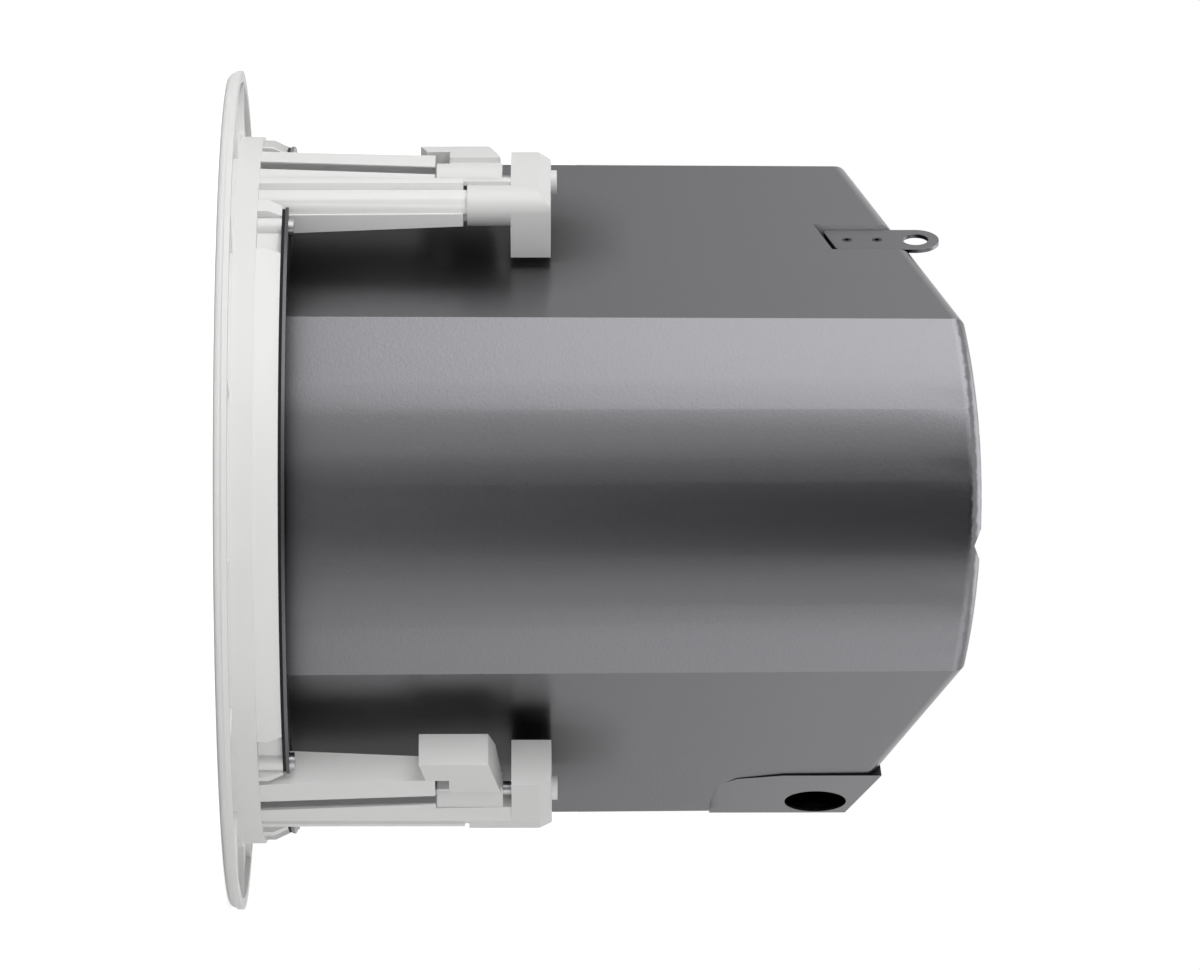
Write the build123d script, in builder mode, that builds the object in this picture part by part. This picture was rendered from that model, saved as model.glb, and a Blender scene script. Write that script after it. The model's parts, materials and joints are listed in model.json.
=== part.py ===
"""In-ceiling speaker: white moulded baffle with three swing-out clamps, deep steel back can, coaxial driver.

The speaker's axis is Z. Z = 0 is the rear face of the front flange, which lies against the underside of the
ceiling, and the back can rises above it. The long curved side of the can faces -Y.
"""

from build123d import *

import math
import os

# Front flange and grille
FLANGE_RADIUS = 150.0
FLANGE_THICKNESS = 2.0
FLANGE_LIP = 4.0
FLANGE_RECESS = 1.9
FLANGE_DISH_RADIUS = 147.2
FLANGE_DISH_FRONT = 3.2
ROOT_RING = 1.2
SUPPORT_RIB_COUNT = 14
SUPPORT_RIB_START = 202.5
SUPPORT_RIB_WIDTH = 1.2
GRILLE_RADIUS = 149.4
GRILLE_SHEET = 1.0
GRILLE_DEPTH = 2.6
GRILLE_EDGE_RADIUS = 2.4
CLOTH_THICKNESS = 0.4
CLOTH_RADIUS = 140.0
GRILLE_MAGNET_RADIUS = 4.0
GRILLE_MAGNET_THICKNESS = 1.6
GRILLE_MAGNET_CIRCLE = 118.0
GRILLE_MAGNET_COUNT = 6
GRILLE_MAGNET_START = 55.0
FACE_GAP = 0.05

# Baffle collar, spigot and plate, heights above the flange's rear face
COLLAR_RADIUS = 126.4
COLLAR_HEIGHT = 8.0
COLLAR_WALL = 2.6
PLATE_THICKNESS = 2.8
SPIGOT_RADIUS = 125.1
SPIGOT_HEIGHT = 8.5
SPIGOT_WALL = 5.0
SPIGOT_TAPER_HEIGHT = 5.0
SPIGOT_TAPER_IN = 2.3
WINDOW_TURN_DEG = 17.2
WINDOW_WIDTH = 19.6
WINDOW_FLOOR_RADIUS = 119.6
WINDOW_WALL = 2.4
SCREW_BOSS_RADIUS = 3.3
SCREW_BOSS_CIRCLE = 119.6
SCREW_BOSS_TURN_DEG = 13.8

# Back can
CAN_RADIUS = 118.3
CAN_FLAT_HALF_DEG = 33.3
CAN_DRAFT_DEG = 0.35
CAN_WALL = 1.2
CAN_REAR = 261.5
CAN_REAR_SLOPE_DEG = 18.0
CAN_RIM_FILLET = 5.0
DENT_X = 17.3
DENT_Z = 256.5
DENT_RUN = 2.5
DENT_HEIGHT = 8.0
CAN_FLANGE_RADIUS = 122.9
CAN_FLANGE_THICKNESS = 1.2
GASKET_THICKNESS = 1.1
GASKET_INSET = 0.4

# Clamps, in each clamp's own frame: X points out from the speaker's axis, Y across the clamp
CLAMP_AZIMUTHS = (90.0, 205.0, 335.0)
NOTCH_INNER = 105.0
NOTCH_LOW = -25.4
NOTCH_HIGH = 21.0
NOTCH_FLANGE_MARGIN = 1.0

# Clamp tower, moulded with the baffle
PIVOT_X = 117.6
PIVOT_Y = -6.6
HOUSING_TOP = 69.4
HOUSING_LOW = -22.2
HOUSING_HIGH = 3.5
HOUSING_INNER = 109.3
HOUSING_OUTER_RADIUS = 124.6
HOUSING_WALL = 2.0
SLOT_WIDTH = 7.2
STRIP_TOP = 96.2
STRIP_WIDTH = 2.6
LEDGE_WALL = 1.8
POST_X = 117.4
POST_Y = 12.9
POST_RADIUS = 5.5
POST_TOP = 90.0
RIB_TOP = 79.6
RIB_OUTER_RADIUS = 125.7
RIB_LOW = 7.8
RIB_WIDTH = 3.2
FIN_WIDTH = 2.0
FIN_OUTER = 116.6
WEB_THICKNESS = 2.2

# Clamp dog
BARREL_RADIUS = 6.6
BARREL_BOTTOM = 70.0
BARREL_LENGTH = 23.2
BARREL_CLEARANCE = 0.35
ARM_TIP_Y = -33.4
ARM_INNER_X = 107.9
ARM_OUTER_RADIUS = 124.2
ARM_TIP_TOP = 88.0
NECK_BOTTOM = 74.4
NECK_THICKNESS = 6.4
NECK_REACH = 9.2
FOOT_BOTTOM = 63.6
FOOT_GAP = 1.5
FOOT_SLOPE = 2.6

# Clamp cap
CAP_TOP = 110.2
CAP_SLEEVE_BOTTOM = 81.0
CAP_SLEEVE_RADIUS = 7.1
CAP_LOW = -21.4
CAP_OUTER_RADIUS = 124.5
CAP_INNER_AT_POST = 100.6
CAP_INNER_AT_TIP = 105.4
CAP_EDGE_RUN = 4.2
CAP_EDGE_DROP = 2.8
CAP_WALL = 2.0
CAP_BOSS_RADIUS = 4.2
CAP_BOSS_HEIGHT = 2.1
POST_FIT = 0.05

# Clamp screw and its threaded insert
SCREW_RADIUS = 2.4
SCREW_HEAD_RADIUS = 4.6
SCREW_HEAD_HEIGHT = 3.2
SCREW_RECESS_LENGTH = 5.2
SCREW_RECESS_WIDTH = 1.2
SCREW_RECESS_DEPTH = 2.0
SCREW_ROOM = 0.4
SCREW_END = 111.0
SCREW_FIT = 0.08
INSERT_RADIUS = 4.6
INSERT_HEIGHT = 8.0

# Safety tab and its pocket, on the 205 degree side
TAB_AZIMUTH = 205.0
TAB_WIDTH = 16.6
TAB_THICKNESS = 1.5
TAB_CORNER = 2.0
TAB_FLOOR_RADIUS = 95.0
TAB_ACROSS = 3.7
TAB_START_Z = 208.6
TAB_HOLE_RUN = 30.4
TAB_HOLE_RADIUS = 4.5
RIVET_RUNS = (6.2, 16.8)
RIVET_RADIUS = 1.65
RIVET_HEAD_RADIUS = 2.5
RIVET_HEAD_HEIGHT = 0.8
RIVET_BORE = 0.9
RIVET_BORE_DEPTH = 1.6
TAB_POCKET_MARGIN = 2.4

# Conduit entry, on the 335 degree side
CONDUIT_AZIMUTH = 335.0
CONDUIT_RADIUS = 11.1
CONDUIT_FLOOR_RADIUS = 97.0
CONDUIT_ACROSS = -58.1
CONDUIT_Z = 204.6
CONDUIT_TILT_DEG = 2.7
CONDUIT_NEAR = 28.0
CONDUIT_FAR = 12.3
CONDUIT_FRONT = 38.0
CONDUIT_CORNER = 26.0
CONDUIT_REAR_CORNER_START = 12.5
CONDUIT_REAR_CORNER = 4.0
CONDUIT_PAD_DEPTH = 12.0

# Rear terminals, on the sloped face
TERMINAL_WIDTH = 84.0
TERMINAL_HEIGHT = 56.0
TERMINAL_PLATE_THICKNESS = 2.0
TERMINAL_MARGIN = 10.0
TERMINAL_CORNER = 4.0
TERMINAL_ACROSS = 6.0
CONNECTOR_WIDTH = 30.0
CONNECTOR_HEIGHT = 12.0
CONNECTOR_DEPTH = 15.0
CONNECTOR_POLES = 4
SMALL_SCREW_RADIUS = 1.5
SMALL_SCREW_HEAD_RADIUS = 3.0
SMALL_SCREW_HEAD_HEIGHT = 1.8
SMALL_SCREW_SLOT = 3.2
SMALL_SCREW_SLOT_WIDTH = 0.7
SMALL_SCREW_SLOT_DEPTH = 1.0
CAN_SCREW_REACH = 9.0
COVER_SCREW_REACH = 6.0
DRIVER_SCREW_LENGTH = 8.0
BOARD_WIDTH = 120.0
BOARD_HEIGHT = 96.0
BOARD_THICKNESS = 1.6
BOARD_STANDOFF = 16.0
STANDOFF_RADIUS = 4.0
BOARD_SCREW_END = 1.6
INDUCTOR_SPOTS = ((-30.0, -26.0), (36.0, -22.0))
INDUCTOR_RADIUS = 14.0
INDUCTOR_BORE = 7.0
INDUCTOR_HEIGHT = 16.0
CAPACITOR_SPOTS = ((-4.0, -32.0), (8.0, -8.0), (-8.0, -12.0))
CAPACITOR_RADIUS = 5.0
CAPACITOR_HEIGHT = 20.0
TRANSFORMER_SPOT = (0.0, 22.0)
CORE_LIMB = 8.0
CORE_WINDOW = 8.0
CORE_CENTRE = 16.0
CORE_STACK = 20.0
CORE_HEIGHT = 40.0

# Driver, mounted behind the plate
DRIVER_FLANGE_RADIUS = 82.0
DRIVER_OPENING = 70.0
DRIVER_GASKET = 1.0
DRIVER_FLANGE_THICKNESS = 2.5
DRIVER_SCREW_CIRCLE = 77.0
DRIVER_SCREW_COUNT = 8
DRIVER_SCREW_REACH = 5.2
DRIVER_BOSS_HEIGHT = 4.0
DRIVER_BOSS_RADIUS = 4.1
BASKET_WALL = 1.8
SPIDER_LANDING_Z = 32.0
BASKET_REAR_Z = 50.0
BASKET_NECK_RADIUS = 47.0
BASKET_WAIST = 51.0
BASKET_SPOKES = 6
BASKET_SPOKE_DEG = 16.0
SPIDER_OUTER = 50.0
SPIDER_FOOT = 6.0
SPIDER_SHEET = 0.6
SPIDER_WAVE = 1.4
SPIDER_WAVES = 5
ROLL_INNER = 57.5
ROLL_OUTER = 66.5
ROLL_SHEET = 0.9
ROLL_FOOT = 2.4
CONE_SHEET = 0.8
CONE_THROAT_Z = 28.0
COIL_RADIUS = 19.0
COIL_WALL = 0.5
COIL_WINDING = 0.9
COIL_END_Z = 58.0
POLE_RADIUS = 17.9
GAP_RADIUS = 20.6
TOP_PLATE_RADIUS = 45.0
TOP_PLATE_THICKNESS = 5.0
MAGNET_RADIUS = 50.0
MAGNET_THICKNESS = 15.0
BACK_PLATE_THICKNESS = 6.0
TWEETER_STEM_RADIUS = 15.0
TWEETER_FRONT_RADIUS = 24.0
TWEETER_FRONT_Z = 7.0
DOME_RADIUS = 12.5
DOME_HEIGHT = 4.0
DOME_SHEET = 0.5
DOME_STEPS = 8

# Bass port and tap selector
PORT_AZIMUTH = 270.0
PORT_CIRCLE = 100.2
PORT_RADIUS = 13.5
PORT_WALL = 1.5
PORT_LENGTH = 84.0
PORT_FLANGE = 4.0
SELECTOR_AZIMUTH = 150.0
SELECTOR_CIRCLE = 99.0
KNOB_RADIUS = 8.5
KNOB_HEIGHT = 5.0
SPINDLE_RADIUS = 3.0
SPINDLE_FIT = 0.06
SWITCH_SIDE = 24.0
SWITCH_DEPTH = 14.0

# Wadding
PAD_START_Z = 100.0
PAD_LENGTH = 60.0
PAD_WIDTH = 100.0
PAD_THICKNESS = 12.0


def axis_plane(azimuth, height=0.0):
    """A plane across the speaker's axis, turned so that X points out at this azimuth."""
    turn = math.radians(azimuth)
    return Plane(origin=(0, 0, height), x_dir=(math.cos(turn), math.sin(turn), 0), z_dir=(0, 0, 1))


def polar(radius, angle_deg):
    """A point at a radius and an angle in the plane that is drawn on."""
    turn = math.radians(angle_deg)
    return (radius * math.cos(turn), radius * math.sin(turn))


def rear_plane(lift=0.0):
    """The can's sloped rear face, lifted along its outward normal."""
    slope = math.radians(CAN_REAR_SLOPE_DEG)
    normal = Vector(0, math.sin(slope), math.cos(slope))
    axis_point = Vector(0, 0, CAN_REAR - math.tan(slope) * CAN_RADIUS)
    return Plane(origin=axis_point + normal * lift, x_dir=(1, 0, 0), z_dir=normal)


def flat_plane(azimuth, radius, across, height, tilt=0.0):
    """A plane facing out over one flat: X runs towards the rear, Y is turned clockwise round the axis."""
    turn = math.radians(azimuth)
    lean = math.radians(azimuth + tilt)
    outward = Vector(math.cos(turn), math.sin(turn), 0)
    sideways = Vector(math.sin(turn), -math.cos(turn), 0)
    origin = outward * radius + sideways * across + Vector(0, 0, height)
    return Plane(origin=origin, x_dir=(0, 0, 1), z_dir=(math.cos(lean), math.sin(lean), 0))


def can_section(inset=0.0):
    """Draws the can's section: an arc on each side, joined by a chord behind each clamp."""
    radius = CAN_RADIUS - inset
    half = math.degrees(math.acos((FLAT_DISTANCE - inset) / radius))
    for index, azimuth in enumerate(CLAMP_AZIMUTHS):
        following = CLAMP_AZIMUTHS[(index + 1) % len(CLAMP_AZIMUTHS)]
        span = (following - azimuth) % 360.0 - 2.0 * half
        Line(polar(radius, azimuth - half), polar(radius, azimuth + half))
        CenterArc((0, 0), radius, azimuth + half, span)


def tab_pocket(margin=0.0):
    """Draws the recess behind the safety tab, open at the rear, its start parallel to the sloped rim."""
    low = -TAB_WIDTH / 2 - TAB_POCKET_MARGIN - margin
    high = TAB_WIDTH / 2 + TAB_POCKET_MARGIN + margin
    start = -TAB_POCKET_MARGIN - margin
    Polygon(
        (start - RIM_SKEW * low, low),
        (CAN_REAR, low),
        (CAN_REAR, high),
        (start - RIM_SKEW * high, high),
        align=None,
    )


def conduit_pocket(margin=0.0):
    """Draws the recess and pad round the conduit entry, open at the rear."""
    near = CONDUIT_NEAR + margin
    far = -CONDUIT_FAR - margin
    front = -CONDUIT_FRONT - margin
    Polygon(
        (front, far),
        (CONDUIT_REAR_CORNER_START, far),
        (CONDUIT_REAR_CORNER_START + CONDUIT_REAR_CORNER, far + CONDUIT_REAR_CORNER),
        (CAN_REAR, far + CONDUIT_REAR_CORNER),
        (CAN_REAR, near),
        (front + CONDUIT_CORNER, near),
        (front + 0.36 * CONDUIT_CORNER, near - 0.14 * CONDUIT_CORNER),
        (front + 0.10 * CONDUIT_CORNER, near - 0.42 * CONDUIT_CORNER),
        (front, near - CONDUIT_CORNER),
        align=None,
    )


def rim_dent(margin=0.0):
    """Draws the small V pressed into the rear rim, seen along Y."""
    low = DENT_Z - 1.4 * margin
    Polygon(
        (DENT_X, low),
        (DENT_X + DENT_RUN * DENT_HEIGHT, low + DENT_HEIGHT),
        (DENT_X - DENT_RUN * DENT_HEIGHT, low + DENT_HEIGHT),
        align=None,
    )


def notch_corners(azimuth, margin):
    """The corners of the gap left for one clamp in a round rim."""
    low = NOTCH_LOW - margin
    high = NOTCH_HIGH + margin
    outside = FLANGE_RADIUS
    plane = axis_plane(azimuth)
    corners = [(NOTCH_INNER - margin, low), (outside, low), (outside, high), (NOTCH_INNER - margin, high)]
    return [tuple(plane.from_local_coords((x, y)))[:2] for x, y in corners]


def notched_disc(radius, margin=0.0):
    """Draws a disc with a gap for each clamp."""
    Circle(radius)
    for azimuth in CLAMP_AZIMUTHS:
        Polygon(*notch_corners(azimuth, margin), align=None, mode=Mode.SUBTRACT)


def save(builder, label):
    """Labels a finished piece and writes it."""
    builder.part.label = label
    export_step(builder.part, f"parts/{label}.step")


os.makedirs("parts", exist_ok=True)

FLAT_DISTANCE = CAN_RADIUS * math.cos(math.radians(CAN_FLAT_HALF_DEG))
RIM_SKEW = math.tan(math.radians(CAN_REAR_SLOPE_DEG)) * math.sin(math.radians(CLAMP_AZIMUTHS[2] - 270.0))
PLATE_BOTTOM = COLLAR_HEIGHT - PLATE_THICKNESS
SPIGOT_TOP = COLLAR_HEIGHT + SPIGOT_HEIGHT
CAN_FLANGE_BOTTOM = SPIGOT_TOP + GASKET_THICKNESS
CAN_FLANGE_TOP = CAN_FLANGE_BOTTOM + CAN_FLANGE_THICKNESS
BARREL_TOP = BARREL_BOTTOM + BARREL_LENGTH
BORE_RADIUS = BARREL_RADIUS + BARREL_CLEARANCE
GRILLE_FRONT = -FLANGE_THICKNESS - FACE_GAP - GRILLE_DEPTH
CLOTH_BACK = GRILLE_FRONT + GRILLE_SHEET + CLOTH_THICKNESS
MAGNET_SEAT_Z = CLOTH_BACK + FACE_GAP + GRILLE_MAGNET_THICKNESS
POST_HIGH = POST_Y + POST_RADIUS
DRIVER_FRONT = COLLAR_HEIGHT + DRIVER_GASKET
DRIVER_FLANGE_REAR = DRIVER_FRONT + DRIVER_FLANGE_THICKNESS
CORE_WIDTH = CORE_CENTRE + 2 * CORE_WINDOW + 2 * CORE_LIMB

with BuildPart() as baffle:
    with BuildSketch(Plane.XZ):
        with BuildLine():
            Polyline(
                (DRIVER_OPENING, PLATE_BOTTOM),
                (COLLAR_RADIUS - COLLAR_WALL, PLATE_BOTTOM),
                (COLLAR_RADIUS - COLLAR_WALL, -FLANGE_DISH_FRONT),
                (FLANGE_DISH_RADIUS, -FLANGE_DISH_FRONT),
                (FLANGE_DISH_RADIUS, -FLANGE_THICKNESS),
                (FLANGE_RADIUS, -FLANGE_THICKNESS),
                (FLANGE_RADIUS, 0),
                (FLANGE_RADIUS - FLANGE_LIP, 0),
                (FLANGE_RADIUS - FLANGE_LIP, -FLANGE_RECESS),
                (COLLAR_RADIUS + ROOT_RING, -FLANGE_RECESS),
                (COLLAR_RADIUS + ROOT_RING, 0),
                (COLLAR_RADIUS, 0),
                (COLLAR_RADIUS, COLLAR_HEIGHT),
                (DRIVER_OPENING, COLLAR_HEIGHT),
                close=True,
            )
        make_face()
    revolve(axis=Axis.Z)
    # Radial ribs that carry the flange's lip from the collar
    rib_length = FLANGE_RADIUS - FLANGE_LIP - COLLAR_RADIUS
    with BuildSketch(Plane.XY.offset(-FLANGE_RECESS)):
        with PolarLocations(COLLAR_RADIUS + rib_length / 2, SUPPORT_RIB_COUNT, start_angle=SUPPORT_RIB_START):
            Rectangle(rib_length + ROOT_RING, SUPPORT_RIB_WIDTH)
    extrude(amount=FLANGE_RECESS)
    # Spigot with a gap for each clamp, its rim tapered
    with BuildSketch(Plane.XY.offset(COLLAR_HEIGHT)):
        notched_disc(SPIGOT_RADIUS)
    extrude(amount=SPIGOT_HEIGHT)
    with BuildSketch(Plane.XY.offset(COLLAR_HEIGHT)):
        notched_disc(SPIGOT_RADIUS - SPIGOT_WALL, SPIGOT_WALL)
    extrude(amount=SPIGOT_HEIGHT, mode=Mode.SUBTRACT)
    with BuildSketch(Plane.XZ):
        with BuildLine():
            Polyline(
                (SPIGOT_RADIUS, SPIGOT_TOP - SPIGOT_TAPER_HEIGHT),
                (SPIGOT_RADIUS + 1, SPIGOT_TOP - SPIGOT_TAPER_HEIGHT),
                (SPIGOT_RADIUS + 1, SPIGOT_TOP),
                (SPIGOT_RADIUS - SPIGOT_TAPER_IN, SPIGOT_TOP),
                close=True,
            )
        make_face()
    revolve(axis=Axis.Z, mode=Mode.SUBTRACT)
    for azimuth in CLAMP_AZIMUTHS:
        base = axis_plane(azimuth, COLLAR_HEIGHT)
        # Housing with a bore that the dog's barrel slides down, open along its outer side
        with BuildSketch(base):
            Polygon(
                (HOUSING_INNER, HOUSING_LOW),
                (FLANGE_RADIUS, HOUSING_LOW),
                (FLANGE_RADIUS, HOUSING_HIGH),
                (HOUSING_INNER, HOUSING_HIGH),
                align=None,
            )
            Circle(HOUSING_OUTER_RADIUS, mode=Mode.INTERSECT)
            with Locations((PIVOT_X, PIVOT_Y)):
                Circle(BORE_RADIUS, mode=Mode.SUBTRACT)
            Polygon(
                (PIVOT_X, PIVOT_Y - SLOT_WIDTH / 2),
                (FLANGE_RADIUS, PIVOT_Y - SLOT_WIDTH / 2),
                (FLANGE_RADIUS, PIVOT_Y + SLOT_WIDTH / 2),
                (PIVOT_X, PIVOT_Y + SLOT_WIDTH / 2),
                align=None,
                mode=Mode.SUBTRACT,
            )
            Polygon(
                (HOUSING_INNER + WEB_THICKNESS, HOUSING_LOW + HOUSING_WALL),
                (HOUSING_OUTER_RADIUS - 2 * HOUSING_WALL, HOUSING_LOW + HOUSING_WALL),
                (HOUSING_OUTER_RADIUS - 2 * HOUSING_WALL, PIVOT_Y - BORE_RADIUS - HOUSING_WALL),
                (HOUSING_INNER + WEB_THICKNESS, PIVOT_Y - BORE_RADIUS - HOUSING_WALL),
                align=None,
                mode=Mode.SUBTRACT,
            )
        extrude(amount=HOUSING_TOP - COLLAR_HEIGHT)
        # Strip beside the barrel, up to the cap
        with BuildSketch(base):
            Polygon(
                (HOUSING_INNER, HOUSING_HIGH - STRIP_WIDTH),
                (FLANGE_RADIUS, HOUSING_HIGH - STRIP_WIDTH),
                (FLANGE_RADIUS, HOUSING_HIGH),
                (HOUSING_INNER, HOUSING_HIGH),
                align=None,
            )
            Polygon(
                (HOUSING_OUTER_RADIUS - LEDGE_WALL, HOUSING_HIGH - STRIP_WIDTH),
                (FLANGE_RADIUS, HOUSING_HIGH - STRIP_WIDTH),
                (FLANGE_RADIUS, RIB_LOW),
                (HOUSING_OUTER_RADIUS - LEDGE_WALL, RIB_LOW),
                align=None,
            )
            Circle(HOUSING_OUTER_RADIUS, mode=Mode.INTERSECT)
        extrude(amount=STRIP_TOP - COLLAR_HEIGHT)
        # Rib on the post's outer side, fin on its far side and the inner web
        with BuildSketch(base):
            Polygon(
                (POST_X, RIB_LOW),
                (FLANGE_RADIUS, RIB_LOW),
                (FLANGE_RADIUS, RIB_LOW + RIB_WIDTH),
                (POST_X, RIB_LOW + RIB_WIDTH),
                align=None,
            )
            Circle(RIB_OUTER_RADIUS, mode=Mode.INTERSECT)
            Polygon(
                (HOUSING_INNER, POST_HIGH - FIN_WIDTH / 2),
                (FIN_OUTER, POST_HIGH - FIN_WIDTH / 2),
                (FIN_OUTER, POST_HIGH + FIN_WIDTH / 2),
                (HOUSING_INNER, POST_HIGH + FIN_WIDTH / 2),
                align=None,
            )
            Polygon(
                (HOUSING_INNER, HOUSING_HIGH - STRIP_WIDTH),
                (HOUSING_INNER + WEB_THICKNESS, HOUSING_HIGH - STRIP_WIDTH),
                (HOUSING_INNER + WEB_THICKNESS, POST_HIGH + FIN_WIDTH / 2),
                (HOUSING_INNER, POST_HIGH + FIN_WIDTH / 2),
                align=None,
            )
        extrude(amount=RIB_TOP - COLLAR_HEIGHT)
        with BuildSketch(base):
            with Locations((POST_X, POST_Y)):
                Circle(POST_RADIUS)
        extrude(amount=POST_TOP - COLLAR_HEIGHT)
        # A window on each side that bares the boss for one of the can's screws
        for side in (-1, 1):
            with BuildSketch(axis_plane(azimuth + side * WINDOW_TURN_DEG, COLLAR_HEIGHT)):
                with Locations((WINDOW_FLOOR_RADIUS, 0)):
                    Rectangle(2 * WINDOW_WALL, WINDOW_WIDTH + WINDOW_WALL)
            extrude(amount=SPIGOT_HEIGHT)
            with BuildSketch(axis_plane(azimuth + side * WINDOW_TURN_DEG, COLLAR_HEIGHT)):
                with Locations((WINDOW_FLOOR_RADIUS, 0)):
                    Rectangle(SPIGOT_RADIUS - COLLAR_WALL, WINDOW_WIDTH, align=(Align.MIN, Align.CENTER))
            extrude(amount=SPIGOT_HEIGHT, mode=Mode.SUBTRACT)
            with BuildSketch(axis_plane(azimuth + side * SCREW_BOSS_TURN_DEG, COLLAR_HEIGHT)):
                with Locations((SCREW_BOSS_CIRCLE, 0)):
                    Circle(SCREW_BOSS_RADIUS)
            extrude(amount=SPIGOT_HEIGHT)
            with BuildSketch(axis_plane(azimuth + side * SCREW_BOSS_TURN_DEG, COLLAR_HEIGHT)):
                with Locations((SCREW_BOSS_CIRCLE, 0)):
                    Circle(SMALL_SCREW_RADIUS + SCREW_FIT)
            extrude(amount=SPIGOT_HEIGHT, mode=Mode.SUBTRACT)
        # Hole for the clamp's screw, which passes the plate and stands in the bore
        with BuildSketch(base):
            with Locations((PIVOT_X, PIVOT_Y)):
                Circle(SCREW_RADIUS + SCREW_FIT)
        extrude(amount=-PLATE_THICKNESS, mode=Mode.SUBTRACT)
    # Front bosses for the grille's magnets and the driver's screws
    with BuildSketch(Plane.XY.offset(PLATE_BOTTOM)):
        with PolarLocations(GRILLE_MAGNET_CIRCLE, GRILLE_MAGNET_COUNT, start_angle=GRILLE_MAGNET_START):
            Circle(GRILLE_MAGNET_RADIUS + 1.0)
    extrude(amount=MAGNET_SEAT_Z - PLATE_BOTTOM)
    with BuildSketch(Plane.XY.offset(PLATE_BOTTOM)):
        with PolarLocations(DRIVER_SCREW_CIRCLE, DRIVER_SCREW_COUNT):
            Circle(DRIVER_BOSS_RADIUS)
    extrude(amount=-DRIVER_BOSS_HEIGHT)
    with BuildSketch(Plane.XY.offset(COLLAR_HEIGHT)):
        with PolarLocations(DRIVER_SCREW_CIRCLE, DRIVER_SCREW_COUNT):
            Circle(SMALL_SCREW_RADIUS + SCREW_FIT)
    extrude(amount=-DRIVER_SCREW_REACH, mode=Mode.SUBTRACT)
    # Openings for the bass port and the selector's spindle
    with BuildSketch(axis_plane(PORT_AZIMUTH, COLLAR_HEIGHT)):
        with Locations((PORT_CIRCLE, 0)):
            Circle(PORT_RADIUS)
    extrude(amount=-PLATE_THICKNESS, mode=Mode.SUBTRACT)
    with BuildSketch(axis_plane(SELECTOR_AZIMUTH, COLLAR_HEIGHT)):
        with Locations((SELECTOR_CIRCLE, 0)):
            Circle(SPINDLE_RADIUS + SPINDLE_FIT)
    extrude(amount=-PLATE_THICKNESS, mode=Mode.SUBTRACT)
save(baffle, "baffle")

with BuildPart() as grille:
    with BuildSketch(Plane.XZ):
        with BuildLine():
            Polyline(
                (0, GRILLE_FRONT),
                (GRILLE_RADIUS - GRILLE_EDGE_RADIUS, GRILLE_FRONT),
            )
            CenterArc((GRILLE_RADIUS - GRILLE_EDGE_RADIUS, GRILLE_FRONT + GRILLE_EDGE_RADIUS), GRILLE_EDGE_RADIUS, -90, 90)
            Polyline(
                (GRILLE_RADIUS, GRILLE_FRONT + GRILLE_EDGE_RADIUS),
                (GRILLE_RADIUS, GRILLE_FRONT + GRILLE_DEPTH),
                (GRILLE_RADIUS - GRILLE_SHEET, GRILLE_FRONT + GRILLE_DEPTH),
                (GRILLE_RADIUS - GRILLE_SHEET, GRILLE_FRONT + GRILLE_EDGE_RADIUS),
                (GRILLE_RADIUS - GRILLE_EDGE_RADIUS, GRILLE_FRONT + GRILLE_SHEET),
                (0, GRILLE_FRONT + GRILLE_SHEET),
                (0, GRILLE_FRONT),
            )
        make_face()
    revolve(axis=Axis.Z)
save(grille, "grille")

with BuildPart() as grille_cloth:
    with BuildSketch(Plane.XY.offset(GRILLE_FRONT + GRILLE_SHEET)):
        Circle(CLOTH_RADIUS)
    extrude(amount=CLOTH_THICKNESS)
save(grille_cloth, "grille_cloth")

with BuildPart() as grille_magnets:
    with BuildSketch(Plane.XY.offset(MAGNET_SEAT_Z)):
        with PolarLocations(GRILLE_MAGNET_CIRCLE, GRILLE_MAGNET_COUNT, start_angle=GRILLE_MAGNET_START):
            Circle(GRILLE_MAGNET_RADIUS)
    extrude(amount=-GRILLE_MAGNET_THICKNESS)
save(grille_magnets, "grille_magnets")

# The can's inside, which is taken out of its outer form
with BuildPart() as can_cavity:
    with BuildSketch(Plane.XY.offset(CAN_FLANGE_BOTTOM)):
        with BuildLine():
            can_section(CAN_WALL)
        make_face()
    extrude(amount=CAN_REAR, taper=CAN_DRAFT_DEG)
    split(bisect_by=rear_plane(-CAN_WALL), keep=Keep.BOTTOM)
    fillet(can_cavity.faces().filter_by(rear_plane()).edges(), radius=CAN_RIM_FILLET - CAN_WALL)
    with BuildSketch(flat_plane(TAB_AZIMUTH, TAB_FLOOR_RADIUS - CAN_WALL, TAB_ACROSS, TAB_START_Z)):
        tab_pocket(CAN_WALL)
    extrude(amount=CAN_REAR, mode=Mode.SUBTRACT)
    conduit_inside = flat_plane(
        CONDUIT_AZIMUTH, CONDUIT_FLOOR_RADIUS - CAN_WALL, CONDUIT_ACROSS, CONDUIT_Z, CONDUIT_TILT_DEG
    )
    with BuildSketch(conduit_inside):
        conduit_pocket(-CAN_WALL)
    extrude(amount=-CONDUIT_PAD_DEPTH)
    with BuildSketch(conduit_inside):
        conduit_pocket(CAN_WALL)
    extrude(amount=CAN_REAR, mode=Mode.SUBTRACT)
    with BuildSketch(Plane.XZ):
        rim_dent(CAN_WALL)
    extrude(amount=FLANGE_RADIUS, mode=Mode.SUBTRACT)
    split(bisect_by=rear_plane(-CAN_WALL), keep=Keep.BOTTOM)

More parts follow.
